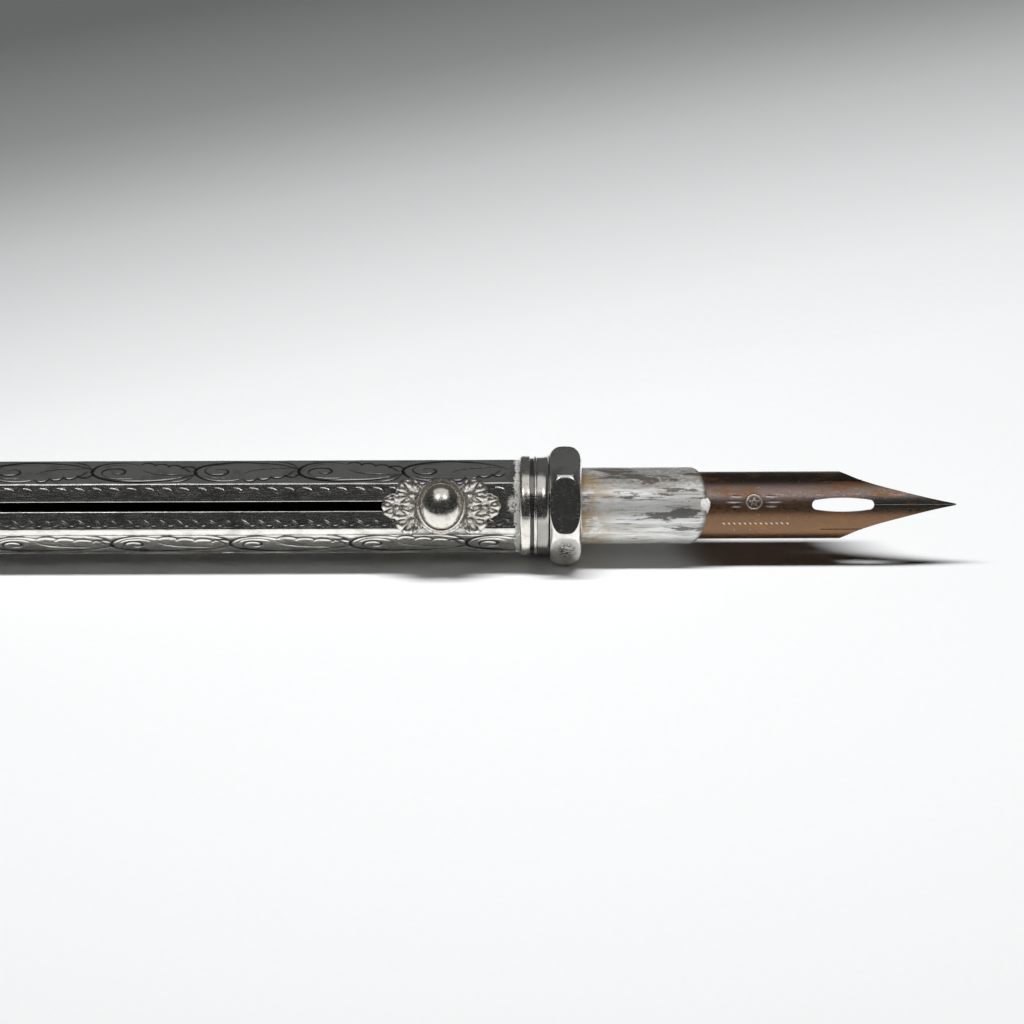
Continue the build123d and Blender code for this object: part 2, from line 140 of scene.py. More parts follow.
def piece(name, points, faces, body, slot, material, stands_for=(), sharp=35, **attributes):
    """Makes a closed mesh from pen millimetres and hangs it on its CAD body."""
    mesh = bpy.data.meshes.new(name)
    mesh.from_pydata(place(points).tolist(), [], faces)
    for key, values in attributes.items():
        layer = mesh.attributes.new(key, "FLOAT", "POINT")
        layer.data.foreach_set("value", np.asarray(values, np.float32).ravel())
    work = bmesh.new()
    work.from_mesh(mesh)
    bmesh.ops.remove_doubles(work, verts=work.verts, dist=SAME_POINT)
    bmesh.ops.dissolve_degenerate(work, edges=work.edges, dist=NO_LENGTH)
    bmesh.ops.recalc_face_normals(work, faces=work.faces)
    work.to_mesh(mesh)
    work.free()
    mesh.shade_smooth()
    mesh.set_sharp_from_angle(angle=radians(sharp))
    mesh.materials.append(material)
    made = add(name, mesh)
    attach(made, body)
    if stands_for:
        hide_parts(*stands_for)


def six_sided(flat_distance):
    """Radius round a hexagonal prism whose flats are at this distance from the axis."""
    from_flat = (np.degrees(ROUND) - 90 + 30) % 60 - 30
    return flat_distance / np.cos(np.radians(from_flat))


def turned(rows, rear=False):
    """Points and faces of a ring from its section, a closed list of (x, radius) rows.

    An x or a radius may be an array with a value for each side.
    """
    points = []
    for x, radius in rows:
        x, radius = x + np.zeros(SIDES), radius + np.zeros(SIDES)
        x = REAR_FACE - x if rear else x
        points.append(np.stack([x, radius * np.cos(ROUND), radius * np.sin(ROUND)], -1))
    points = np.concatenate(points)
    return points, quads(len(rows), SIDES, close_rows=True)


def arc(x, radius, size_x, size_r, start, end, steps):
    """Section points on an ellipse's arc, angles in degrees from +x towards larger radius."""
    turns = np.radians(np.linspace(start, end, steps))
    return [(x + size_x * cos(a), radius + size_r * sin(a)) for a in turns]


# ---------------- material helpers


MIX_FIRST, MIX_SECOND, MIX_RESULT = 6, 7, 2  # a Mix node's sockets for colours


class Shader:
    """A material's nodes, with a short call for each kind, and the colour laid on so far."""

    def __init__(self, name, colour=None):
        self.colour = colour
        self.material = bpy.data.materials.new(name)
        self.material.use_nodes = True
        self.tree = self.material.node_tree
        self.tree.nodes.clear()
        self.surface = self.node("BsdfPrincipled")
        self.node("OutputMaterial", {"Surface": self.surface.outputs[0]})
        self.where = self.node("TexCoord").outputs["Object"]

    def fill(self, node, inputs):
        """Links or sets a node's inputs."""
        for key, value in inputs.items():
            socket = node.inputs[key]
            if isinstance(value, bpy.types.NodeSocket):
                self.tree.links.new(value, socket)
            else:
                socket.default_value = (*value, 1) if socket.type == "RGBA" else value

    def node(self, kind, inputs=None, **settings):
        """A new node with its settings and inputs."""
        node = self.tree.nodes.new("ShaderNode" + kind)
        for key, value in settings.items():
            setattr(node, key, value)
        self.fill(node, inputs or {})
        return node

    def finish(self, dullness, marks, metallic=1.0, specular=0.5):
        """Gives the surface its colour and maps, and returns the material."""
        maps = {"Base Color": self.colour, "Metallic": metallic, "Roughness": dullness}
        self.fill(self.surface, maps | {"Normal": marks, "Specular IOR Level": specular})
        return self.material

    def stretched(self, along=1.0):
        """Coordinates in millimetres, times a stretch along the pen."""
        scale = (along / MM, 1 / MM, 1 / MM)
        return self.node("Mapping", {"Vector": self.where, "Scale": scale}).outputs[0]

    def noise(self, scale, detail=4.0, rough=0.55, along=1.0, twist=0.0):
        """Noise of about this many grains per millimetre."""
        inputs = {"Vector": self.stretched(along), "Scale": scale, "Detail": detail}
        inputs |= {"Roughness": rough, "Distortion": twist}
        return self.node("TexNoise", inputs).outputs[0]

    def cells(self, scale):
        inputs = {"Vector": self.stretched(), "Scale": scale}
        return self.node("TexVoronoi", inputs).outputs["Distance"]

    def span(self, value, low, high, to_low=0.0, to_high=1.0):
        """Smoothly maps low..high to to_low..to_high and holds the ends."""
        keys = ("Value", "From Min", "From Max", "To Min", "To Max")
        inputs = dict(zip(keys, (value, low, high, to_low, to_high)))
        return self.node("MapRange", inputs, interpolation_type="SMOOTHSTEP").outputs[0]

    def work(self, kind, first, second):
        """Two values put together and held between 0 and 1."""
        return self.node("Math", {0: first, 1: second}, operation=kind, use_clamp=True).outputs[0]

    def coat(self, colour, mask, *spanned):
        """Lays a colour over what is there, as far as the mask says once it is spanned."""
        mask = self.span(mask, *spanned) if spanned else mask
        node = self.node("Mix", data_type="RGBA")
        self.fill(node, {0: mask, MIX_FIRST: self.colour, MIX_SECOND: colour})
        self.colour = node.outputs[MIX_RESULT]

    def layer(self, name):
        """One of the values that a piece's mesh carries."""
        return self.node("Attribute", attribute_name=name).outputs["Fac"]

    def edges(self, low=0.51, high=0.57):
        """Where the surface stands out."""
        return self.span(self.node("NewGeometry").outputs["Pointiness"], low, high)

    def bump(self, height, depth, strength, under=None):
        """A bump whose full height is depth millimetres."""
        inputs = {"Height": height, "Distance": depth * MM, "Strength": strength}
        if under:
            inputs["Normal"] = under
        return self.node("Bump", inputs).outputs[0]


# ---------------- materials

SILVER = (0.965, 0.94, 0.885)
TARNISH_AND_SHADE_BLACK = (0.030, 0.030, 0.034)


def engraved_silver():
    """Old silver: black in the cuts, and as painted shade on the bore and the slot's walls; frosted
    at the ends, fine scratches on what is left.
    """
    shader = Shader("engraved_silver", SILVER)
    cut = shader.layer("cut")
    scratches = shader.noise(14, 3, 0.6, along=0.06)
    shader.coat((0.46, 0.44, 0.40), shader.noise(0.55, 5, 0.6), 0.47, 0.70, 0.0, 0.55)
    # Black where the cut layer is high: oxide in the engraved lines, and painted shade on the bore
    # and the slot's walls.
    shader.coat(TARNISH_AND_SHADE_BLACK, cut, 0.34, 0.95, 0.0, 0.95)
    crumbs = shader.span(shader.noise(4.5, 4, 0.7), 0.38, 0.56, 0.35, 1.0)
    frost = shader.work("MULTIPLY", shader.layer("frost"), crumbs)
    shader.coat((0.60, 0.59, 0.57), frost)
    rough = shader.span(scratches, 0.35, 0.7, 0.16, 0.30)
    rough = shader.work("MAXIMUM", rough, shader.span(frost, 0.1, 0.9, 0.0, 0.62))
    rough = shader.work("MAXIMUM", rough, shader.span(cut, 0.4, 0.9, 0.0, 0.42))
    grain = shader.work("MULTIPLY", shader.noise(9, 3), frost)
    marks = shader.bump(grain, 0.05, 0.8, shader.bump(scratches, 0.0035, 0.6))
    return shader.finish(rough, marks, shader.span(frost, 0.1, 0.8, 1.0, 0.25))


def polished_silver(name="polished_silver", tint=SILVER, rough=0.14):
    """Handled silver: bright on the edges, dull and pitted in the hollows."""
    shader = Shader(name, tint)
    fine = shader.noise(6, 4, 0.65, along=0.5)
    shader.coat((0.44, 0.42, 0.38), shader.noise(0.7, 5, 0.6), 0.50, 0.68, 0.0, 0.45)
    shader.coat((0.90, 0.88, 0.84), shader.edges())
    shader.coat((0.12, 0.11, 0.10), shader.cells(1.1), 0.075, 0.02)
    grains = shader.span(shader.noise(4), 0.42, 0.56)
    stipple = shader.work("MULTIPLY", shader.layer("mark"), grains)
    shader.coat((0.13, 0.12, 0.105), stipple)
    # Black by the grime layer: tarnish in the groove by the bead, and painted shade on the neck's
    # lower side.
    shader.coat(TARNISH_AND_SHADE_BLACK, shader.layer("grime"), 0.1, 1.0, 0.0, 0.93)
    dullness = shader.span(fine, 0.35, 0.70, rough, rough + 0.14)
    return shader.finish(dullness, shader.bump(fine, 0.004, 0.22, shader.bump(stipple, 0.05, 0.5)))


def chased_silver():
    """The button's cast and chased plate: dark grime low down, painted shade on its underside, worn
    bright on the ridges.
    """
    shader = Shader("chased_silver", (0.96, 0.93, 0.865))
    fine = shader.noise(11, 3)
    shader.coat((0.72, 0.68, 0.61), shader.noise(2.4, 5, 0.65), 0.44, 0.64)
    # Dark by the cut layer: grime in the chasing and round the bezel, and painted shade on the
    # plate's underside.
    shader.coat((0.075, 0.070, 0.062), shader.layer("cut"), 0.25, 0.95, 0.0, 0.88)
    shader.coat((0.97, 0.94, 0.87), shader.edges(0.52, 0.60))
    dullness = shader.span(fine, 0.3, 0.7, 0.24, 0.44)
    return shader.finish(dullness, shader.bump(fine, 0.012, 0.7))


def worn_plate():
    """The sleeve's nickel plate, streaked along its length and worn through to brass."""
    shader = Shader("worn_plate", (0.96, 0.965, 0.95))
    streaks = shader.noise(1.5, 5, 0.62, along=0.10, twist=0.4)
    lines = shader.noise(7, 3, 0.6, along=0.05)
    patches = shader.noise(0.42, 5, 0.62)
    shader.coat((0.66, 0.645, 0.61), streaks, 0.38, 0.64)
    speckle = shader.span(shader.noise(5, 4, 0.7, along=0.5), 0.36, 0.60, 0.35, 1.0)
    shader.coat((0.34, 0.325, 0.30), shader.work("MULTIPLY", shader.layer("upper"), speckle))
    blotches = shader.noise(0.8, 6, 0.68, along=0.22, twist=0.5)
    shader.coat((0.13, 0.12, 0.11), blotches, 0.54, 0.59, 0, 0.9)
    shader.coat((0.20, 0.19, 0.175), lines, 0.56, 0.66, 0, 0.8)
    brassy = shader.work("MULTIPLY", shader.span(patches, 0.46, 0.60), shader.layer("rear"))
    shader.coat((0.46, 0.32, 0.16), brassy)
    # Darker over the last half millimetre before the mouth, and painted shade over the whole bore.
    shader.coat((0.16, 0.145, 0.13), shader.layer("mouth"), 0.2, 1.0, 0, 0.85)
    shader.coat((0.05, 0.045, 0.04), shader.cells(1.3), 0.085, 0.03)
    dullness = shader.span(streaks, 0.35, 0.65, 0.34, 0.52)
    marks = shader.bump(lines, 0.006, 0.6, shader.bump(patches, 0.03, 0.4))
    return shader.finish(dullness, marks, metallic=0.60)


def tempered_nib_steel():
    """Blued and browned pen steel, its colour running across and along the nib."""
    shader = Shader("tempered_nib_steel", (0.245, 0.142, 0.082))
    across = shader.layer("across")
    fine = shader.noise(8, 4, 0.7, along=0.3)
    shader.coat((0.33, 0.245, 0.22), across, -0.15, 0.25)
    shader.coat((0.085, 0.062, 0.047), across, 0.42, 0.75)
    middle = shader.span(shader.layer("along"), 0.35, 0.60)
    middle = shader.work("MULTIPLY", middle, shader.span(across, 0.4, 0.1))
    middle = shader.work("MULTIPLY", middle, shader.span(across, -0.30, -0.05))
    shader.coat((0.13, 0.125, 0.11), middle)
    rust = shader.noise(0.8, 5, 0.6, along=0.4)
    shader.coat((0.30, 0.155, 0.070), rust, 0.50, 0.66, 0.0, 0.8)
    shader.coat((0.86, 0.84, 0.80), shader.layer("cut"), 0.2, 0.6, 0.0, 0.85)
    shader.coat((0.62, 0.58, 0.52), shader.cells(1.7), 0.10, 0.03)
    dullness = shader.span(fine, 0.3, 0.7, 0.24, 0.46)
    return shader.finish(dullness, shader.bump(fine, 0.008, 0.7), metallic=0.92)


def plain_metal(name, tint, shade, rough):
    """An inner metal part: drawn or turned, a little stained."""
    shader = Shader(name, tint)
    lines = shader.noise(8, 3, 0.6, along=0.2)
    shader.coat(shade, shader.noise(0.9, 4), 0.45, 0.65)
    dullness = shader.span(lines, 0.3, 0.7, rough, rough + 0.18)
    return shader.finish(dullness, shader.bump(lines, 0.005, 0.6))


def crust():
    """Pale dried ink and plating salts."""
    shader = Shader("crust", (0.70, 0.68, 0.64))
    grains = shader.noise(5, 5, 0.7)
    shader.coat((0.92, 0.92, 0.90), grains, 0.38, 0.62)
    dullness = shader.span(grains, 0.3, 0.7, 0.60, 0.85)
    return shader.finish(dullness, shader.bump(grains, 0.06, 0.8), metallic=0.0)


# Painted shade standing in for the lights' falloff: the card's tone at each distance behind the
# pen, in millimetres.
PAINTED_FALLOFF = ((15, 0.90), (33, 0.85), (50, 0.73), (67, 0.57), (83, 0.36), (91, 0.28), (115, 0.16))
FALLOFF_LEFT_SLANT = -0.42  # how much sooner the painted shade darkens the card towards the left


def pale_floor():
    """A matt card, almost white, with painted shade greying it towards its back left."""
    shader = Shader("pale_floor")
    fibres = shader.noise(1.2, 5, 0.6)
    x, y, _ = shader.node("SeparateXYZ", {0: shader.stretched()}).outputs
    back = shader.node("Math", {0: x, 1: FALLOFF_LEFT_SLANT, 2: y}, operation="MULTIPLY_ADD")
    first, last = PAINTED_FALLOFF[0][0], PAINTED_FALLOFF[-1][0]
    inputs = {"Value": back.outputs[0], "From Min": first, "From Max": last}
    falloff_ramp = shader.node("ValToRGB", {0: shader.node("MapRange", inputs).outputs[0]})
    stops = falloff_ramp.color_ramp.elements
    for stop in PAINTED_FALLOFF[1:-1]:
        stops.new((stop[0] - first) / (last - first))
    for stop, (_, tone) in zip(stops, PAINTED_FALLOFF):
        stop.color = (tone * 0.985, tone, tone * 1.006, 1)
    shader.colour = falloff_ramp.outputs[0]
    shader.coat((0.4, 0.4, 0.4), fibres, 0.3, 0.7, 0.0, 0.02)
    dullness = shader.span(fibres, 0.3, 0.7, 0.82, 0.92)
    return shader.finish(dullness, shader.bump(fibres, 0.01, 0.3), metallic=0.0, specular=0.2)


engraved = engraved_silver()
polished = polished_silver()
ring_silver = polished_silver("ring_silver", (0.89, 0.855, 0.78), 0.17)
chased = chased_silver()
plated = worn_plate()
nib_steel = tempered_nib_steel()
spring_steel = plain_metal("spring_steel", (0.50, 0.49, 0.48), (0.24, 0.22, 0.21), 0.26)
brass = plain_metal("brass", (0.68, 0.52, 0.28), (0.36, 0.26, 0.13), 0.26)
inner_silver = plain_metal("inner_silver", (0.62, 0.60, 0.56), (0.30, 0.28, 0.26), 0.30)
salts = crust()

# ---------------- camera and light

FIELD = 85.33  # millimetres across the picture at the pen
LENS = 200.0
SENSOR = 36.0
VIEW_X = -5.79  # the picture's middle, along the pen
VIEW_DROP = 0.51  # and below the pen's axis
ROLL = 0.0035


def camera():
    """A long lens 30 degrees above the table, square to the pen."""
    data = bpy.data.cameras.new("camera")
    data.lens = LENS
    data.sensor_width = SENSOR
    data.clip_start = 0.01
    data.clip_end = 10
    made = add("camera", data)
    right = ALONG * cos(ROLL) - UP * sin(ROLL)
    upwards = UP * cos(ROLL) + ALONG * sin(ROLL)
    aim = place([(VIEW_X, -VIEW_DROP, 0)])[0]
    where = aim + OUT * FIELD * MM * LENS / SENSOR
    turn = Matrix(np.stack([right, upwards, OUT], 1).tolist())
    made.matrix_world = Matrix.Translation(Vector(where)) @ turn.to_4x4()
    bpy.context.scene.camera = made


def softbox(name, azimuth, elevation, distance, width, height, power, shines_on):
    """An area light aimed at the pen from this azimuth, 0 on the camera's side."""
    data = bpy.data.lights.new(name, "AREA")
    data.shape = "RECTANGLE"
    data.size = width
    data.size_y = height
    data.energy = power
    made = add(name, data)
    made.visible_diffuse = shines_on != "glossy"
    made.visible_glossy = shines_on != "diffuse"
    a, e = radians(azimuth), radians(elevation)
    back = Vector((sin(a) * cos(e), -cos(a) * cos(e), sin(e)))
    aim = Vector(place([(VIEW_X, 0, 0)])[0])
    made.location = aim + back * distance
    made.rotation_mode = "QUATERNION"
    made.rotation_quaternion = back.to_track_quat("Z", "Y")


GLOW = (-0.2, 0.8, 0.026, 0.090)  # the sky's lowest and highest Y, and its strength there
FLOOR_GAP = 0.00002  # metres below the pen
# Name, azimuth, elevation, distance, width, height, power and the kind of surface it shines on.
LIGHTS = (
    ("key", 0, 87.4, 0.30, 0.30, 0.028, 1.17, "diffuse"),
    ("sheen", 0, 82, 0.30, 0.34, 0.24, 0.15, "glossy"),
    ("left", -28, 59, 0.34, 0.075, 0.075, 0.042, "glossy"),
    ("right", 28, 59, 0.34, 0.075, 0.075, 0.042, "glossy"),
)


def surroundings():
    """A dim sky, brighter behind the pen, the card that it lies on, and the lights."""
    world = bpy.data.worlds.new("studio")
    world.use_nodes = True
    nodes, links = world.node_tree.nodes, world.node_tree.links
    parts = nodes.new("ShaderNodeSeparateXYZ")
    links.new(nodes.new("ShaderNodeTexCoord").outputs["Generated"], parts.inputs[0])
    glow = nodes.new("ShaderNodeMapRange")
    links.new(parts.outputs["Y"], glow.inputs["Value"])
    for key, value in zip(("From Min", "From Max", "To Min", "To Max"), GLOW):
        glow.inputs[key].default_value = value
    links.new(glow.outputs[0], nodes["Background"].inputs["Strength"])
    nodes["Background"].inputs["Color"].default_value = (0.96, 0.99, 1.0, 1)
    bpy.context.scene.world = world
    world.cycles_visibility.diffuse = False
    bpy.context.scene.view_settings.view_transform = "Standard"
    mesh = bpy.data.meshes.new("floor")
    corners = [(-0.6, -0.6, 0), (0.6, -0.6, 0), (0.6, 0.4, 0), (-0.6, 0.4, 0)]
    mesh.from_pydata(corners, [], [(0, 1, 2, 3)])
    mesh.materials.append(pale_floor())
    floor = add("floor", mesh)
    floor.location.z = cad_box[0].z - FLOOR_GAP
    for light in LIGHTS:
        softbox(*light)


camera()
surroundings()

# ---------------- engraving

FLAT_DISTANCE = (barrel_high.z - barrel_low.z) / 2 / MM
FLAT_HALF = FLAT_DISTANCE / sqrt(3)


class Engraving:
    """Cut lines on one flat, as depths on a fine grid, all in millimetres."""

    STEP = 0.035
    SLOPE = 0.62  # of a cut's walls
    WALL = 0.10  # how wide a wall is, at most
    HOLLOW_REACH = 9  # how many steps the worn hollow round a cut reaches
    HOLLOW_SPREAD = 0.13
    CUT_LEFT, HOLLOW_ADDED = 0.75, 0.85  # shares of the depth, once worn

    def __init__(self, length, height):
        self.shape = (int(length / self.STEP) + 2, int(height / self.STEP) + 2)
        self.depth = np.zeros(self.shape)
        self.middle = height / 2

    def cut(self, path, width, taper=True):
        """Cuts a V along a path of (along, across) points, across from the flat's middle."""
        path = np.asarray(path, float)
        steps = np.hypot(*np.diff(path, axis=0).T)
        run = np.concatenate([[0], np.cumsum(steps)])
        count = max(3, int(run[-1] / self.STEP))
        at = np.linspace(0, run[-1], count)
        line = np.stack([np.interp(at, run, path[:, 0]), np.interp(at, run, path[:, 1])], -1)
        swell = np.sin(np.pi * np.linspace(0.06, 0.94, count)) if taper else np.ones(count)
        for (u, v), size in zip(line, swell):
            half = width * (0.45 + 0.55 * size) / 2
            reach = int(half / self.STEP) + 2
            i, j = int(u / self.STEP), int((v + self.middle) / self.STEP)
            low_i, low_j = max(0, i - reach), max(0, j - reach)
            window = self.depth[low_i : i + reach + 1, low_j : j + reach + 1]
            if not window.size:  # past the flat's end
                continue
            du = (np.arange(window.shape[0]) + low_i) * self.STEP - u
            dv = (np.arange(window.shape[1]) + low_j) * self.STEP - self.middle - v
            inside = np.clip(half - np.hypot(du[:, None], dv), 0, self.WALL)
            np.maximum(window, self.SLOPE * inside, out=window)

    def soften(self):
        """Hollows the metal out gently round the cuts, as the graver's worn edges leave it."""
        offsets = np.arange(-self.HOLLOW_REACH, self.HOLLOW_REACH + 1) * self.STEP
        weights = np.exp(-0.5 * (offsets / self.HOLLOW_SPREAD) ** 2)
        weights /= weights.sum()
        soft = np.apply_along_axis(np.convolve, 0, self.depth, weights, "same")
        soft = np.apply_along_axis(np.convolve, 1, soft, weights, "same")
        self.depth = self.CUT_LEFT * self.depth + self.HOLLOW_ADDED * soft

    def sample(self, u, v):
        """Depth at points given as a column of u and a row of v."""
        i = np.clip(np.asarray(u) / self.STEP, 0, self.shape[0] - 1.001)
        j = np.clip((np.asarray(v) + self.middle) / self.STEP, 0, self.shape[1] - 1.001)
        i0, j0, d = i.astype(int)[:, None], j.astype(int), self.depth
        fi, fj = i[:, None] - i0, j - j0
        near = d[i0, j0] * (1 - fj) + d[i0, j0 + 1] * fj
        far = d[i0 + 1, j0] * (1 - fj) + d[i0 + 1, j0 + 1] * fj
        return near * (1 - fi) + far * fi


def bezier(*corners):
    """Points along a cubic curve."""
    t = np.linspace(0, 1, 24)[:, None]
    a, b, c, d = (np.asarray(p, float) for p in corners)
    return a * (1 - t) ** 3 + 3 * b * t * (1 - t) ** 2 + 3 * c * t**2 * (1 - t) + d * t**3


def chain(at, half, hand, *curves):
    """Bezier curves joined end to end, given across as shares of the band's half height."""
    scale = np.array((1.0, hand * half))
    return np.concatenate([bezier(*(np.array(p) * scale + at for p in c)) for c in curves])


VOLUTE_TURNS, VOLUTE_END = 1.25, radians(-120)
VOLUTE_STRETCH = 1.45  # along the pen


def volute(at, radius, hand):
    """A spiral, drawn out along the pen, that opens to the radius."""
    t = np.linspace(0, 1, int(26 * VOLUTE_TURNS) + 6)
    angle = VOLUTE_END * hand - hand * (1 - t) * VOLUTE_TURNS * 2 * pi
    size = radius * (0.10 + 0.90 * t**0.85)
    x = at[0] + VOLUTE_STRETCH * size * np.cos(angle)
    return np.stack([x, at[1] + size * np.sin(angle)], -1)


LEAF_LOBES, LEAF_HATCHES, TAIL_HATCHES = 4, 9, 7


def scroll(cuts, at, half, hand, reach, random):
    """A drawn-out C-scroll whose back sweeps on under a lobed, hatched leaf."""
    at = np.array(at, float)
    j = random.uniform(-0.06, 0.06, 10)

    def stroke(width, *curves):
        cuts.cut(chain(at, half, hand, *curves), width)

    shoulder, sweep = (-1.95, 0.08), (2.3, -0.92 + j[1])
    stroke(0.40, ((1.9, 0.72 + j[0]), (0.9, 1.10), (-1.6, 1.02), shoulder),
           (shoulder, (-2.05, -0.70), (0.3, -0.98), sweep),
           (sweep, (4.2, -0.88), (reach - 2.6, -0.66), (reach - 1.7, -0.10)))
    cuts.cut(volute(at + (0.05, -0.04 * half * hand), half * 0.52, hand), 0.34)
    stroke(0.24, ((1.35, 0.46), (0.5, 0.82), (-1.15, 0.76), (-1.38, 0.02)))
    stroke(0.22, ((-1.2, -0.42), (-0.4, -0.74), (1.0, -0.78), (2.2, -0.60)))
    leaf, leaf_end = 2.05, reach - 2.0
    leaf_length = leaf_end - leaf
    for lobe in range(LEAF_LOBES):
        x1, x2 = (leaf + leaf_length * n / LEAF_LOBES for n in (lobe, lobe + 1))
        top = 0.98 - 0.13 * lobe
        stroke(0.34, ((x1, top - 0.34), (x1 + 0.1, top + 0.06 + j[lobe]),
                      (x2 - 0.1, top + 0.06), (x2 + 0.12, top - 0.40)))
    stroke(0.28, ((1.9, 0.55), (2.0, -0.05), (3.4, -0.42), (leaf_end, -0.30)))
    for share in np.linspace(0.05, 0.95, LEAF_HATCHES):
        x = leaf + 0.25 + (leaf_length - 0.6) * share
        stroke(0.15, ((x, 0.55 - 0.40 * share), (x + 0.3, 0.35 - 0.3 * share),
                      (x + 0.55, 0.10 - 0.25 * share), (x + 0.9, -0.10)))
    for share in np.linspace(0, 1, TAIL_HATCHES):
        stroke(0.16, ((-3.7 + 0.2 * share, 0.80 - 1.35 * share), (-3.1, 0.65 - 1.15 * share),
                      (-2.6, 0.35 - 0.75 * share), (-2.12, 0.05 - 0.50 * share)))
    stroke(0.30, ((-3.9, 0.98), (-3.0, 1.0), (-2.3, 0.75), (-2.0, 0.30)))
    stroke(0.26, ((reach - 3.4, 0.55), (reach - 2.7, 0.35), (reach - 2.4, 0.05),
                  (reach - 2.2, -0.20)))


def edge_line(cuts, length, across, width, seed):
    """A slightly wavering line along the flat."""
    u = np.linspace(0.1, length - 0.1, 120)
    cuts.cut(np.stack([u, across + 0.02 * wobble(u / 9, seed)], -1), width, taper=False)


def running_scrolls(length, height, low, high, repeat, seed, first, flips=False):
    """A band of C-scrolls between two lines across the flat."""
    random = np.random.default_rng(seed)
    cuts = Engraving(length, height)
    middle, half = (low + high) / 2, (high - low) / 2
    edge_line(cuts, length, low, 0.13, seed)
    if high < FLAT_HALF - 0.5:
        edge_line(cuts, length, high + 0.02, 0.15, seed + 1)
    u, turn = first, 0
    while u < length - 2.0:
        hand = -1 if flips and turn % 2 else 1
        step = repeat * random.uniform(0.96, 1.04)
        reach = min(step, length - u + 1.6)
        scroll(cuts, (u, middle), half * 0.97, hand, max(reach, 5.2), random)
        u += step
        turn += 1
    cuts.soften()
    return cuts


def slot_borders(length, height):
    """Hooks along one edge of the slotted flat and slanting strokes along the other."""
    random = np.random.default_rng(11)
    cuts = Engraving(length, height)
    for u in np.arange(0.7, length - 0.9, 1.45):
        s = random.uniform(-0.06, 0.06)
        hook = bezier((u + s, 1.66), (u + 0.5, 1.66), (u + 0.95, 1.55), (u + 0.80 + s, 1.14))
        cuts.cut(hook, 0.19)
        cuts.cut([(u + 0.50, 1.40), (u + 0.66, 1.20)], 0.13)
        cuts.cut([(u + 1.10, 1.62), (u + 1.22, 1.42)], 0.12)
    for u in np.arange(0.5, length - 0.9, 1.36):
        s = random.uniform(-0.05, 0.05)
        cuts.cut([(u + s, -1.10), (u + 0.34, -1.32), (u + 0.66, -1.62)], 0.19)
        curl = bezier((u + 0.66, -1.62), (u + 0.9, -1.70), (u + 1.2, -1.68), (u + 1.30, -1.46))
        cuts.cut(curl, 0.13)
    edge_line(cuts, length, -1.78, 0.11, 3)
    return cuts


# ---------------- barrel

WALL = 0.20
SLOT_HALF = 0.40
TRAVEL, SHANK_ROOM = 40, 1.25  # the shank's middle stays this far from the slot's ends
SLOT_REAR, SLOT_FRONT = BUTTON_X - (TRAVEL + SHANK_ROOM), BUTTON_X + SHANK_ROOM
CUT_FULL = 0.085  # a cut this deep is quite black
SLOT_EDGE_WEAR = (0.022, 0.038)  # how far the slot's lower and upper edges are worn down
CROWN = 0.060  # how far each flat's edges fall below its middle
LOWER_CROWN = 0.135  # and on the flat below the slot, which is worn rounder
EDGE_WIDTH, EDGE_WEAR = 0.10, 0.026  # the rounding of the edges between flats, and its depth
RIPPLE = 0.010  # of the hand-worked surface, which starts this far inside the CAD flats
BORDER = 0.35  # the engraving stops this short of each band
BORDER_MIDDLE = 0.17
POINTS_ALONG, POINTS_ACROSS = 790, 63


# Half height of the band of scrolls, their spacing, and where the first one is.
FULL_FLATS = ((1.80, 8.6, 2.4), (1.75, 9.2, 3.6), (1.75, 9.2, 4.8), (1.75, 9.2, 3.2))
PLAIN_FROM = 1.03  # where the plain margin starts on the flat below the slot


def flat_engravings(length):
    """One engraving for each flat, from the slotted one round."""
    size = length, 2 * FLAT_HALF
    flats = [slot_borders(*size)]
    for seed, (high, repeat, first) in enumerate(FULL_FLATS, 21):
        flats.append(running_scrolls(*size, -high, high, repeat, seed, first, flips=True))
    return flats + [running_scrolls(*size, -1.86, PLAIN_FROM, 9.75, 25, 1.9)]


def flat_axes(index):
    """A flat's normal and its tangent, as (y, z), counted from the slotted flat."""
    turn = radians(60 * index)
    return np.array((sin(turn), cos(turn))), np.array((cos(turn), -sin(turn)))


def crusted(rows, v, index, cut_rear, cut_front):
    """How much crust there is: a ragged line by each band, and a patch on the slotted flat."""
    front, rear = cut_front + BORDER_MIDDLE, cut_rear - BORDER_MIDDLE
    near = np.minimum(abs(rows - front), abs(rows - rear))
    ragged = 0.16 + 0.10 * wobble(v / 3 + index, 70)
    fringe = np.clip(1.9 - near[:, None] / ragged, 0, 1)
    if index == 0:
        spot = np.hypot((rows[:, None] - BAND_REAR + 0.65) / 0.42, (v - 0.1) / 0.83)
        fringe = np.maximum(fringe, 0.62 * np.clip(1.7 - 1.3 * spot, 0, 1))
    return fringe


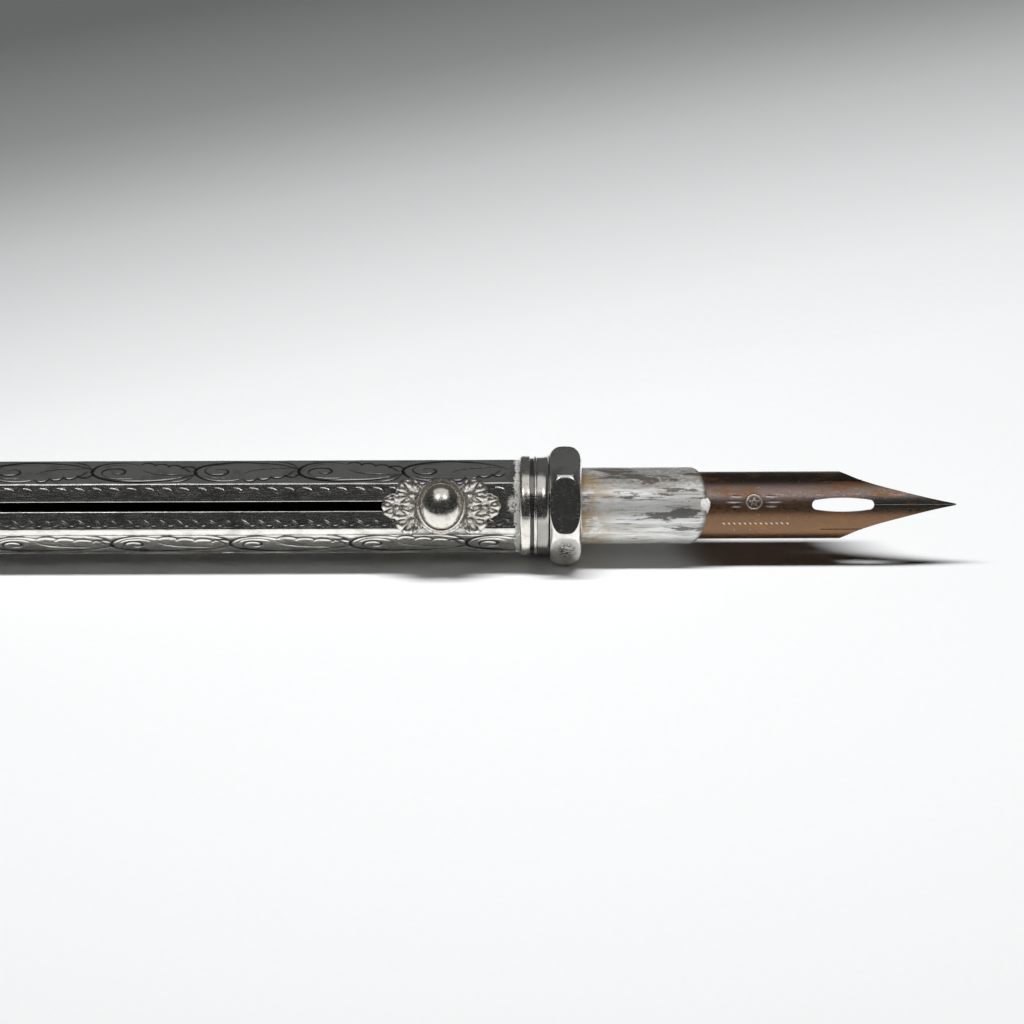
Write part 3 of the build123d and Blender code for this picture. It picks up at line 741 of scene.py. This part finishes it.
def barrel():
    """The hexagonal tube's outside: its points, and how cut and how crusted each one is."""
    rows = np.linspace(BARREL_REAR, BARREL_FRONT, POINTS_ALONG)
    for end in (SLOT_REAR, SLOT_FRONT):
        rows[np.argmin(abs(rows - end))] = end
    across = np.linspace(-FLAT_HALF, FLAT_HALF, POINTS_ACROSS)
    slot_columns = across.copy()
    for edge in (-SLOT_HALF, SLOT_HALF):
        slot_columns[np.argmin(abs(across - edge))] = edge
    cut_rear, cut_front = REAR_FACE - BAND_REAR + BORDER, BAND_REAR - BORDER
    inside = (rows > cut_rear) & (rows < cut_front)
    along_slot = (rows > SLOT_REAR - 0.05) & (rows < SLOT_FRONT + 0.05)
    points, cut, frost = [], [], []
    for index, engraving in enumerate(flat_engravings(cut_front - cut_rear)):
        v = (slot_columns if index == 0 else across)[:-1]
        depth = engraving.sample(rows - cut_rear, v) * inside[:, None]
        if index == 0:
            depth = depth * (np.abs(v) > SLOT_HALF + 0.1)
        edge = np.clip((np.abs(v) - FLAT_HALF + EDGE_WIDTH) / EDGE_WIDTH, 0, 1)
        ripple = RIPPLE * wobble(rows[:, None] / 7 + v / 5, 30 + index)
        crown = LOWER_CROWN if index == 5 else CROWN
        drop = crown * (v / FLAT_HALF) ** 2 + EDGE_WEAR * edge**2
        rise = -drop - depth - RIPPLE + ripple * (1 - edge)
        if index == 0:
            for edge_v, wear in zip((-SLOT_HALF, SLOT_HALF), SLOT_EDGE_WEAR):
                rise[np.ix_(along_slot, v == edge_v)] -= wear
        normal, tangent = flat_axes(index)
        flat = FLAT_DISTANCE * normal + v[:, None] * tangent
        scaled = flat[None] * (1 + rise / FLAT_DISTANCE)[..., None]
        x = np.broadcast_to(rows[:, None, None], (*rise.shape, 1))
        points.append(np.concatenate([x, scaled], -1))
        cut.append(np.clip(depth / CUT_FULL, 0, 1))
        frost.append(crusted(rows, v, index, cut_rear, cut_front))
    return rows, slot_columns, *(np.concatenate(each, 1) for each in (points, cut, frost))


def make_barrel():
    """Joins the engraved outside to a plain bore, with the slot cut through both."""
    rows, slot_columns, outer, cut, frost = barrel()
    count, columns = outer.shape[:2]
    first, last = (int(np.argmin(abs(rows - end))) for end in (SLOT_REAR, SLOT_FRONT))
    low, high = (int(np.argmin(abs(slot_columns - e))) for e in (-SLOT_HALF, SLOT_HALF))
    faces = np.array(quads(count, columns))
    row_of, column_of = np.divmod(faces[:, 0], columns)
    slot = (row_of >= first) & (row_of < last) & (column_of >= low) & (column_of < high)
    faces = faces[~slot].tolist()
    bore = FLAT_DISTANCE - WALL
    inner_line = []
    for index in range(6):
        normal, tangent = flat_axes(index)
        for v in (-bore / sqrt(3), -SLOT_HALF, SLOT_HALF)[: 1 if index else 3]:
            inner_line.append(normal * bore + v * tangent)
    base, inner_columns = count * columns, len(inner_line)
    inner = [np.repeat(rows, inner_columns)[:, None], np.tile(inner_line, (count, 1))]
    inner = np.concatenate(inner, 1)

    def on_outside(row, column):
        return row * columns + column % columns

    def on_inside(row, column):
        return base + row * inner_columns + column % inner_columns

    for face in quads(count, inner_columns, first=base):
        row, column = divmod(face[0] - base, inner_columns)
        if not (column == 1 and first <= row < last):
            faces.append(face[::-1])
    for edge, under in ((low, 1), (high, 2)):
        for row in range(first, last):
            faces.append([on_outside(row, edge), on_outside(row + 1, edge),
                          on_inside(row + 1, under), on_inside(row, under)])
    for row in (first, last):
        top = [on_outside(row, column) for column in range(low, high + 1)]
        faces.append(top + [on_inside(row, 2), on_inside(row, 1)])
    wide = len(slot_columns) - 1
    for row in (0, count - 1):
        for index in range(6):
            top = [on_outside(row, index * wide + c) for c in range(wide + 1)]
            below = range(index + 3, index + 1, -1) if index else range(3, -1, -1)
            faces.append(top + [on_inside(row, column) for column in below])
    all_points = np.concatenate([outer.reshape(-1, 3), inner])
    # The bore gets the full cut value, which runs up the slot's walls: painted shade that keeps the
    # slot black inside.
    cut = np.concatenate([cut.ravel(), np.ones(len(inner))])
    frost = np.concatenate([frost.ravel(), np.zeros(len(inner))])
    piece("barrel_engraved", all_points, faces, "barrel", "engraved_silver", engraved, ["barrel"],
          sharp=62, cut=cut, frost=frost)


make_barrel()

# ---------------- rings, necks and collars

HEX_BORE = np.minimum(six_sided(FLAT_DISTANCE + 0.01), 4.0)
COLLAR_FLAT = 4.35
COLLAR_LENGTH = -BARREL_FRONT
OVAL_HALF_LENGTH = 1.27  # the oval flats left by the collar's crowned turning
OVAL_HALF_WIDTH = 2.36


def band_rows():
    return [
        (BAND_REAR, HEX_BORE), (BAND_REAR, 4.00), (BAND_REAR + 0.02, 4.05),
        (BAND_REAR + 0.14, 4.145), (BAND_REAR + 0.18, 4.165), (BAND_REAR + 0.40, 4.17),
        *arc(BAND_FRONT - 0.10, 4.07, 0.10, 0.10, 90, 0, 6), (BAND_FRONT, HEX_BORE),
    ]


GROOVE_GRIME_RADIUS = 4.04  # below this, the outside of the neck and the bead is grimy


def grime_in(rows):
    """Grime in the groove beside the bead, for each point of a ring's rows."""
    outside = [r if np.ndim(r) == 0 else 0.0 for _, r in rows]
    return np.repeat([1.0 if 3.5 < r < GROOVE_GRIME_RADIUS else 0.0 for r in outside], SIDES)


def neck_rows():
    groove_end = BAND_FRONT + 0.58
    cove = arc(BARREL_FRONT - 0.62, 4.33, 0.62, 0.26, -90, 0, 14)
    return [
        (BAND_FRONT, HEX_BORE), (BAND_FRONT, 3.99), (groove_end, 3.99),
        (groove_end, 4.05), (groove_end + 0.02, 4.07), *cove, (BARREL_FRONT, HEX_BORE),
    ]


def bead_rows():
    return arc(BAND_FRONT + 0.43, 3.995, 0.15, 0.135, 180, 0, 14) + [
        (BAND_FRONT + 0.57, 3.991), (BAND_FRONT + 0.29, 3.991),
    ]


LOWER_FLAT = radians(150)  # the direction that the flat below the slotted one faces


def worn_mark():
    """Where the front collar's lower flat is stippled, for each point of its rows."""
    x = np.array([row[0] for row in collar_rows()])[:, None]
    across = 4.6 * np.sin(ROUND - LOWER_FLAT)
    facing = np.cos(ROUND - LOWER_FLAT) > 0.6
    far = np.hypot((x + 1.32) / 0.85, (across + 0.13) / 1.40)
    return (np.clip(1.9 - 1.6 * far, 0, 1) * facing).ravel()


def collar_rows():
    """A crowned ring cut by six flats, so each flat is left as an oval."""
    half = COLLAR_LENGTH / 2
    flat = six_sided(COLLAR_FLAT - 0.002)
    rows = [(-COLLAR_LENGTH, 3.70)]
    for x in np.linspace(-half, half, 64):
        far = abs(x) / OVAL_HALF_LENGTH
        crown = sqrt(COLLAR_FLAT**2 + OVAL_HALF_WIDTH**2 * max(1 - far**3.0, -0.5))
        soft = 0.012
        smallest = -soft * np.logaddexp(-crown / soft, -flat / soft)
        end = max(0.0, abs(x) - half + 0.10) / 0.10
        rows.append((x - half, smallest - 0.05 * end**2))
    rows += [(0, 3.40), (-0.03, 3.33), (-0.08, 3.30), (-0.30, 3.30), (-0.30, 3.70)]
    return rows


for end, is_rear in (("front", False), ("rear", True)):
    for part, rows, finish in (
        ("band", band_rows(), ring_silver), ("neck", neck_rows(), polished),
        ("bead", bead_rows(), ring_silver), ("collar", collar_rows(), polished),
    ):
        node = f"{end}_{part}"
        layers = {"mark": worn_mark()} if node == "front_collar" else {}
        if part in ("neck", "bead"):
            layers["grime"] = grime_in(rows)
        if part == "neck":  # tarnished all over, and darkest on its lower side, where the darkening is painted shade
            # lower: painted shade on the neck's lower side, added to its tarnish.
            lower = np.clip((-np.cos(ROUND) - 0.12) / 0.28, 0, 1)
            layers["grime"] = 0.28 + 0.40 * layers["grime"] + 0.34 * np.tile(lower, len(rows))
        piece(f"{node}_turned", *turned(rows, is_rear), "barrel", "polished_silver", finish, [node],
              **layers)


def finial():
    """The turned end piece: a foot, a cove down to a waist, and a pear-shaped knob."""
    rows = [(0, 0), (0, 3.62), *arc(0.36, 3.68, 0.36, 0.21, 180, 0, 16), (0.75, 3.60)]
    rows += [(0.80, 3.45), *arc(2.10, 3.45, 1.30, 1.50, 180, 270, 18)]
    rows += arc(2.24, 1.95, 0.14, 0.10, 180, 0, 10)
    t = np.linspace(0.0, 1.0, 40)
    swell = 1.86 + 0.69 * np.sin(pi * np.minimum(t / 0.42, 1) / 2) ** 1.5
    fall = np.where(t > 0.42, np.cos((t - 0.42) / 0.58 * pi * 0.40), 1.0)
    rows += [(2.40 + 4.40 * a, max(0.95, s * f)) for a, s, f in zip(t, swell, fall)]
    rows += [(6.83, 0.90), (6.85, 0)]
    section = [(REAR_FACE - x, radius) for x, radius in rows]
    piece("finial_turned", *turned(section), "barrel", "polished_silver", polished, ["finial"])


def ball():
    """The ball on the finial, flat where it sits on the knob."""
    radius = 1.15
    middle = REAR_END + radius
    t = np.radians(np.linspace(0, 168, 40))
    section = [(middle - radius * cos(a), radius * sin(a)) for a in t]
    section += [(middle + radius * cos(radians(12)), 0)]
    piece("finial_ball_turned", *turned(section), "barrel", "polished_silver", ring_silver,
          ["finial_ball"])


finial()
ball()

# ---------------- sleeve

SLEEVE_RADIUS = 3.18
SLEEVE_BORE = 2.88
MOUTH_X = 9.20
MOUTH_LEAN = 0.39


def sleeve():
    """The nib sleeve: a thin tube with a slanting, ragged mouth."""
    mouth = MOUTH_X + MOUTH_LEAN * SLEEVE_RADIUS * np.sin(ROUND)
    mouth = mouth - 0.07 - 0.06 * wobble(ROUND / (2 * pi), 5, 6)
    rows, rear, near = [], [], []
    for t in np.linspace(0, 1, 150):
        x = SLEEVE_REAR + (mouth - SLEEVE_REAR) * t
        dents = 0.012 * wobble(x / 9 + ROUND / (2 * pi) * 2, 8) - 0.014
        dents = dents - 0.05 * np.clip((x - mouth + 0.12) / 0.12, 0, 1) ** 2
        rows.append((x, SLEEVE_RADIUS + dents))
        rear.append(np.clip(0.9 - x / 3.6, 0.08, 0.9))
        near.append(np.clip(1 - (mouth - x) / 0.5, 0, 1))
    for t in np.linspace(1, 0, 30):
        rows.append((SLEEVE_REAR + (mouth - SLEEVE_REAR) * t - 0.01, SLEEVE_BORE))
        rear.append(np.full(SIDES, 0.2))
        # The bore takes the full mouth darkening: painted shade inside the sleeve.
        near.append(np.full(SIDES, 1.0))
    upper = 0.8 * np.clip((np.cos(ROUND) - 0.30) / 0.30, 0, 1)
    piece("nib_sleeve_worn", *turned(rows), "slide", "worn_plate", plated, ["nib_sleeve"],
          rear=np.concatenate(rear), mouth=np.concatenate(near), upper=np.tile(upper, len(rows)))


LUMP_SIZE, LUMP_AT = (0.42, 0.72, 0.20), (10.12, 0.05, 0.0)
LUMP_BUMPS = 26
LUMP_SEAT = 3.02  # distance from the pen's axis of what the lump lies on


def residue():
    """A lump of dried salts at the mouth, on the slotted side."""
    random = np.random.default_rng(4)
    work = bmesh.new()
    bmesh.ops.create_icosphere(work, subdivisions=5, radius=1.0)
    points = np.array([v.co[:] for v in work.verts])
    faces = [[v.index for v in f.verts] for f in work.faces]
    work.free()
    lump = np.ones(len(points))
    for _ in range(LUMP_BUMPS):
        way = random.normal(size=3)
        way /= np.linalg.norm(way)
        lump += random.uniform(-0.10, 0.16) * np.exp(-((1 - points @ way) / 0.12))
    points = points * lump[:, None] * LUMP_SIZE + LUMP_AT
    points[:, 2] += np.sqrt(np.maximum(0, LUMP_SEAT**2 - points[:, 1] ** 2))
    piece("mouth_residue", points, faces, "slide", "worn_plate", salts, sharp=80)


sleeve()
residue()

# ---------------- thumb button

PLATE_UNDER = 3.53
PLATE_TOP = 3.98
AROUND_PLATE = 480  # points
BEZEL_TEETH = 44
PETALS = 9  # of each lobe
CORNER, TIP = (2.67, 1.20, 1.17), (3.92, 0.0, 1.04)  # lobes, as along, across and radius
LOBES = [(x, y, CORNER[2]) for x in (-CORNER[0], CORNER[0]) for y in (-CORNER[1], CORNER[1])]
LOBES += [(x, TIP[1], TIP[2]) for x in (-TIP[0], TIP[0])]
ROOT = 0.36  # how far behind a lobe's middle its petals start, as a share of its radius


def plate_edge(angle):
    """How far the plate reaches from its middle in a direction: its middle and its lobes."""
    c, s = cos(angle), sin(angle)
    reach = 1 / sqrt((c / 2.25) ** 2 + (s / 2.40) ** 2)
    for half_length, half_width in ((CORNER[0], 1.78), (TIP[0], 0.52)):
        sides = (half_length / max(abs(c), 1e-6), half_width / max(abs(s), 1e-6))
        reach = max(reach, min(sides))
    for x, y, radius in LOBES:
        along = x * c + y * s
        off = radius**2 - (x * x + y * y - along * along)
        if off > 0 and along > 0:
            far = along + sqrt(off)
            turn = atan2(far * s - y, far * c - x) - atan2(y, x)
            far -= 0.10 * (1 - abs(cos(turn * PETALS / 2))) ** 1.5
            reach = max(reach, far)
    return reach


def plate_relief(x, y):
    """Height and grime of the plate's chasing at a point: petals fanned out from lobe roots."""
    height, grime = 0.03, 0.10
    for lobe_x, lobe_y, radius in LOBES:
        out = np.array((lobe_x, lobe_y * 1.2))
        out /= np.hypot(*out)
        root_x, root_y = np.array((lobe_x, lobe_y)) - ROOT * radius * out
        dx, dy = x - root_x, y - root_y
        near = sqrt(dx * dx + dy * dy) + 1e-6
        wx, wy = dx / near, dy / near
        ahead = (lobe_x - root_x) * wx + (lobe_y - root_y) * wy
        off = radius**2 - (ROOT * radius) ** 2 + ahead**2
        far = near / (ahead + sqrt(off))
        if far >= 1.05:
            continue
        turn = atan2(wy * out[0] - wx * out[1], wx * out[0] + wy * out[1])
        fan = 1 / (1 + exp((abs(turn) - 2.0) / 0.12))
        rib = abs(cos(turn * PETALS / 2))
        petal = max(0.0, 1 - ((far - 0.70) / 0.42) ** 2) ** 0.6
        raised = fan * petal * (0.12 + 0.22 * rib**0.45)
        hollow = 0.09 * max(0.0, 1 - far / 0.30)
        if raised - hollow > height or hollow > 0.02:
            height = max(height - hollow, raised) if raised > height else height - hollow
            grime = max(0.95 * (1 - rib) ** 1.9 * petal, 6.0 * hollow, 0.04)
    bead = abs(sin(x * 4.6)) * max(0.0, 1 - ((abs(y) - 2.06) / 0.24) ** 2)
    if bead > 0 and abs(x) < 2.1:
        height, grime = max(height, (0.22 if y > 0 else 0.08) * bead), 0.1 + 0.6 * (1 - bead)
    return height, grime


def plate():
    """The foliate plate: fluted lobes round the bezel's seat, its rim scalloped."""
    angles = np.arange(AROUND_PLATE) * 2 * pi / AROUND_PLATE
    scallop = 1 - 0.008 * np.abs(np.sin(angles * 24)) ** 2
    reach = np.array([plate_edge(a) for a in angles]) * scallop
    shares = [(s, False) for s in (*np.linspace(0.0, 0.9, 44), *np.linspace(0.92, 1.0, 9))]
    points, grime = [], []
    for share, under in shares + [(1.0, True), (0.0, True)]:
        for angle, edge in zip(angles, reach):
            x, y = edge * share * cos(angle), edge * share * sin(angle)
            # Underneath, the value is full: painted shade under the plate, which darkens its edge
            # towards the bottom.
            height, grime_and_shade = (0.0, 1.0) if under else plate_relief(x, y)
            rim = max(0.0, (share - 0.90) / 0.10)
            top = PLATE_TOP - 0.10 + height - 0.26 * rim**2
            points.append((BUTTON_X + x, y, PLATE_UNDER if under else top))
            grime.append(grime_and_shade)
    faces = quads(len(shares) + 2, AROUND_PLATE)
    piece("button_plate_chased", points, faces, "slide", "chased_silver", chased,
          ["button_plate"], sharp=50, cut=grime)


def oval_rings(rings):
    """Points and faces of rings given as (half length, half width, height)."""
    points = [(BUTTON_X + a * cos(t), b * sin(t), z) for a, b, z in rings for t in ROUND]
    return points, quads(len(rings), SIDES)


def bezel():
    """The ring that holds the dome, its rim milled with small teeth."""
    rings = [(1.62, 1.94, 3.90), (1.62, 1.94, 4.50), (1.72, 1.96, 4.62), (1.78, 2.01, 4.66)]
    rings += [(1.84, 2.06, 4.705), (1.93, 2.12, 4.66), (1.99, 2.16, 4.58), (2.02, 2.18, 4.46)]
    rings += [(2.03, 2.185, 4.30), (2.04, 2.19, 4.10), (2.05, 2.20, 3.90), (1.62, 1.94, 3.90)]
    points, faces = oval_rings(rings)
    points = np.array(points)
    teeth = np.tile(np.abs(np.sin(ROUND * BEZEL_TEETH / 2)), len(rings))
    raised = (points[:, 2] > 4.4) & (points[:, 2] < 4.70)
    points[:, 2] -= 0.05 * teeth * raised
    grime = 0.42 - 0.22 * (points[:, 2] > 4.5)
    piece("button_bezel_milled", points, faces, "slide", "chased_silver", chased,
          ["button_bezel"], cut=grime)


def dome():
    """The oval cabochon, fully rounded."""
    rings = [(0.0, 0.0, 3.99), (1.60, 1.92, 3.99), (1.60, 1.92, 4.40)]
    for turn in np.radians(np.linspace(0, 90, 40)):
        rings.append((1.72 * cos(turn), 1.92 * cos(turn), 4.56 + 1.26 * sin(turn)))
    piece("button_dome_polished", *oval_rings(rings), "slide", "polished_silver", ring_silver,
          ["button_dome"])


plate()
bezel()
dome()

# ---------------- nib

NIB_RADIUS = 2.80
NIB_THICKNESS = 0.25
NIB_INSET = 0.004  # inside the CAD nib's outer face
STAMPED_SHARE = 0.6  # of the device's depth
NIB_HALF_ARC = radians(86)
SHOULDER_X = 21.45
TINE_EDGE = ((22.95, 2.13), (24.20, 1.72), (26.65, 1.06), (29.44, 0.38), (NIB_TIP, 0.06))
HOLE_X, HOLE_HALF, HOLE_END = 21.65, 2.57, 0.42
SLIT_HALF = 0.003
SIDE_SLIT_REAR = 19.8
SIDE_SLIT_AT = radians(46.5)
SIDE_SLIT_HALF = 0.045 / NIB_RADIUS
BLANK_HALF = 4.3  # half width of the nib before it is rolled
HEEL_END = 8.0  # hidden in the sleeve up to here, so its mesh is coarser
STAMP_X = 10.75  # rear end of the stamped device


def tine_half_width(x):
    """Half width of the tines, smoothly through the points of their edge."""
    px, py = np.array(TINE_EDGE).T
    slopes = np.gradient(py, px)
    i = int(np.clip(np.searchsorted(px, x) - 1, 0, len(px) - 2))
    h = px[i + 1] - px[i]
    t = (x - px[i]) / h
    return float(
        py[i] * (1 + 2 * t) * (1 - t) ** 2 + slopes[i] * h * t * (1 - t) ** 2
        + py[i + 1] * t * t * (3 - 2 * t) - slopes[i + 1] * h * t * t * (1 - t)
    )


def hole_half_width(x):
    """Half width of the vent hole: bowed sides and rounded ends."""
    from_end = HOLE_HALF - abs(x - HOLE_X)
    side = 0.44 + 0.18 * (1 - ((x - HOLE_X) / (HOLE_HALF - HOLE_END)) ** 2)
    if from_end < HOLE_END:
        share = 1 - from_end / HOLE_END
        return 0.44 * sqrt(max(0.0, 1 - share * share))
    return side


def nib_outline():
    """The upper half of the flattened outline, as (x, angle), from the rear to the tip and back
    along the slit and round the hole to the middle line."""
    top = [(x, NIB_HALF_ARC) for x in np.linspace(NIB_REAR, SHOULDER_X, 60)]
    cut_angle = asin(TINE_EDGE[0][1] / NIB_RADIUS)
    for t in np.linspace(0.1, 1, 10):
        half = NIB_RADIUS * (sin(NIB_HALF_ARC) * (1 - t) + sin(cut_angle) * t)
        top.append((SHOULDER_X + (TINE_EDGE[0][0] - SHOULDER_X) * t, asin(half / NIB_RADIUS)))
    outer, inner = SIDE_SLIT_AT + SIDE_SLIT_HALF, SIDE_SLIT_AT - SIDE_SLIT_HALF
    tine = [(x, asin(tine_half_width(x) / NIB_RADIUS)) for x in np.linspace(22.97, NIB_TIP, 90)]
    before = [p for p in tine if p[1] > outer]
    after = [p for p in tine if p[1] < inner]
    mouth = (before[-1][0] + after[0][0]) / 2
    slit = [(x, outer) for x in np.linspace(mouth - 0.02, SIDE_SLIT_REAR, 16)]
    slit += [(x, inner) for x in np.linspace(SIDE_SLIT_REAR, mouth + 0.02, 16)]
    line = top + before + slit + after
    gap = SLIT_HALF / NIB_RADIUS
    front = HOLE_X + HOLE_HALF - 0.002
    line += [(x, gap) for x in np.linspace(NIB_TIP, front, 40)]
    turns = np.linspace(0.02, 1, 14) * pi / 2
    straight = HOLE_HALF - HOLE_END
    hole = [HOLE_X + straight + HOLE_END * cos(a) for a in turns]
    hole += np.linspace(HOLE_X + straight - 0.15, HOLE_X - straight, 28)[:-1].tolist()
    hole += [HOLE_X - straight - HOLE_END * sin(a) for a in turns * 0.999]
    line += [(x, asin(hole_half_width(x) / NIB_RADIUS)) for x in hole]
    return [p for p in line if p[1] > 1e-3] + [(HOLE_X - HOLE_HALF, 0.0)]


DEVICE_X, DEVICE_Y = 3.5, 0.25  # the star's middle
ROW_GAP = 0.42  # between the bars beside the star


def ornament():
    """A plain stamped device on the nib's back: a ringed star between bars, and a row of dashes."""
    cuts = Engraving(7.0, 5.0)
    cuts.cut(arc(DEVICE_X, DEVICE_Y, 0.62, 0.62, 0, 360, 60), 0.20, taper=False)
    star = arc(DEVICE_X, DEVICE_Y, 0.42, 0.42, 90, 90 + 144 * 5, 6)
    for start, end in zip(star, star[1:]):
        cuts.cut([start, end], 0.13, taper=False)
    for side in (-1, 1):
        start = DEVICE_X + side * 0.95
        for row, length in ((-1, 1.0), (0, 1.45), (1, 1.0)):
            y = DEVICE_Y + row * ROW_GAP
            cuts.cut([(start, y), (start + side * length, y)], 0.19)
    for u in np.arange(0.9, 6.2, 0.44):
        cuts.cut([(u, -1.55), (u + 0.20, -1.75)], 0.17)
    return cuts


def inside_outline(points, polygon):
    """Which points are inside a closed polygon."""
    x, y = points[:, 0], points[:, 1]
    hits = np.zeros(len(points), bool)
    for (x1, y1), (x2, y2) in zip(polygon, np.roll(polygon, -1, axis=0)):
        crosses = (y1 > y) != (y2 > y)
        if y1 != y2:
            hits ^= crosses & (x < (x2 - x1) * (y - y1) / (y2 - y1) + x1)
    return hits


def lattice(x_from, x_to, x_step, y_from, y_to, y_step):
    """Points of a rectangular grid."""
    u, v = np.arange(x_from, x_to, x_step), np.arange(y_from, y_to, y_step)
    return np.stack(np.meshgrid(u, v), -1).reshape(-1, 2)


def nib_points(outline):
    """Points inside the flat blank, finest where it is stamped."""
    rear = lattice(NIB_REAR + 0.25, HEEL_END, 0.5, -BLANK_HALF, BLANK_HALF, 0.22)
    front = lattice(HEEL_END + 0.08, NIB_TIP, 0.16, -BLANK_HALF, BLANK_HALF, 0.16)
    coarse = np.concatenate([rear, front])
    stamped = ((coarse > (STAMP_X + 0.5, -2.0)) & (coarse < (STAMP_X + 6.7, 1.15))).all(1)
    fine = lattice(STAMP_X + 0.6, STAMP_X + 6.6, 0.05, -1.95, 1.1, 0.05)
    inner = np.concatenate([coarse[~stamped], fine])
    inner = inner[inside_outline(inner, outline)]
    clear = np.ones(len(inner), bool)
    for point in outline:
        clear &= np.hypot(*(inner - point).T) > 0.05
    return inner[clear]


def nib_blank():
    """The nib before it is rolled: its flat points and its triangles."""
    half = nib_outline()
    mirrored = [(x, -a) for x, a in half[-2::-1]]
    outline = np.array([(x, a * NIB_RADIUS) for x, a in half + mirrored])
    every = [Vector(p) for p in np.concatenate([outline, nib_points(outline)])]
    border = [(i, (i + 1) % len(outline)) for i in range(len(outline))]
    flat, _, triangles, *_ = delaunay_2d_cdt(every, border, [], 1, 1e-5)
    flat = np.array([p[:] for p in flat])
    triangles = np.array([t for t in triangles if len(t) == 3])
    return flat, triangles[inside_outline(flat[triangles].mean(1), outline)]


def nib():
    """The steel nib, cut out flat with its hole and slits, stamped and rolled to its radius."""
    flat, triangles = nib_blank()
    device = ornament()
    i = (np.clip(flat[:, 0] - STAMP_X, 0, 6.9) / device.STEP).astype(int)
    j = (flat[:, 1] + device.middle) / device.STEP
    cut = device.depth[i, np.clip(j, 0, device.shape[1] - 1).astype(int)]
    angle = flat[:, 1] / NIB_RADIUS
    skins = []
    outer = NIB_RADIUS - NIB_INSET - STAMPED_SHARE * cut
    for radius in (outer, NIB_RADIUS - NIB_THICKNESS + np.zeros(len(flat))):
        skins.append(np.stack([flat[:, 0], radius * np.sin(angle), radius * np.cos(angle)], -1))
    count = len(flat)
    edges = dict.fromkeys(e for a, b, c in triangles.tolist() for e in ((a, b), (b, c), (c, a)))
    faces = triangles.tolist() + (triangles[:, ::-1] + count).tolist()
    faces += [[b, a, a + count, b + count] for a, b in edges if (b, a) not in edges]
    layers = {
        "cut": np.clip(cut / 0.05, 0, 1),
        "across": np.sin(angle),
        "along": (flat[:, 0] - MOUTH_X) / (NIB_TIP - MOUTH_X),
    }
    layers = {name: np.tile(values, 2) for name, values in layers.items()}
    piece("nib_formed", np.concatenate(skins), faces, "nib", "tempered_nib_steel", nib_steel,
          ["nib"], sharp=50, **layers)


nib()

# ---------------- what keeps its CAD shape

for node, finish in (
    ("front_guide_bush", brass), ("rear_plug", inner_silver), ("carriage_tube", inner_silver),
    ("button_shank", inner_silver), ("coupling_plug", brass), ("coupling_pins", brass),
    ("nib_core", spring_steel), ("friction_spring", spring_steel), ("spring_rivet", brass),
):
    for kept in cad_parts[node].material_slots:
        kept.material = finish
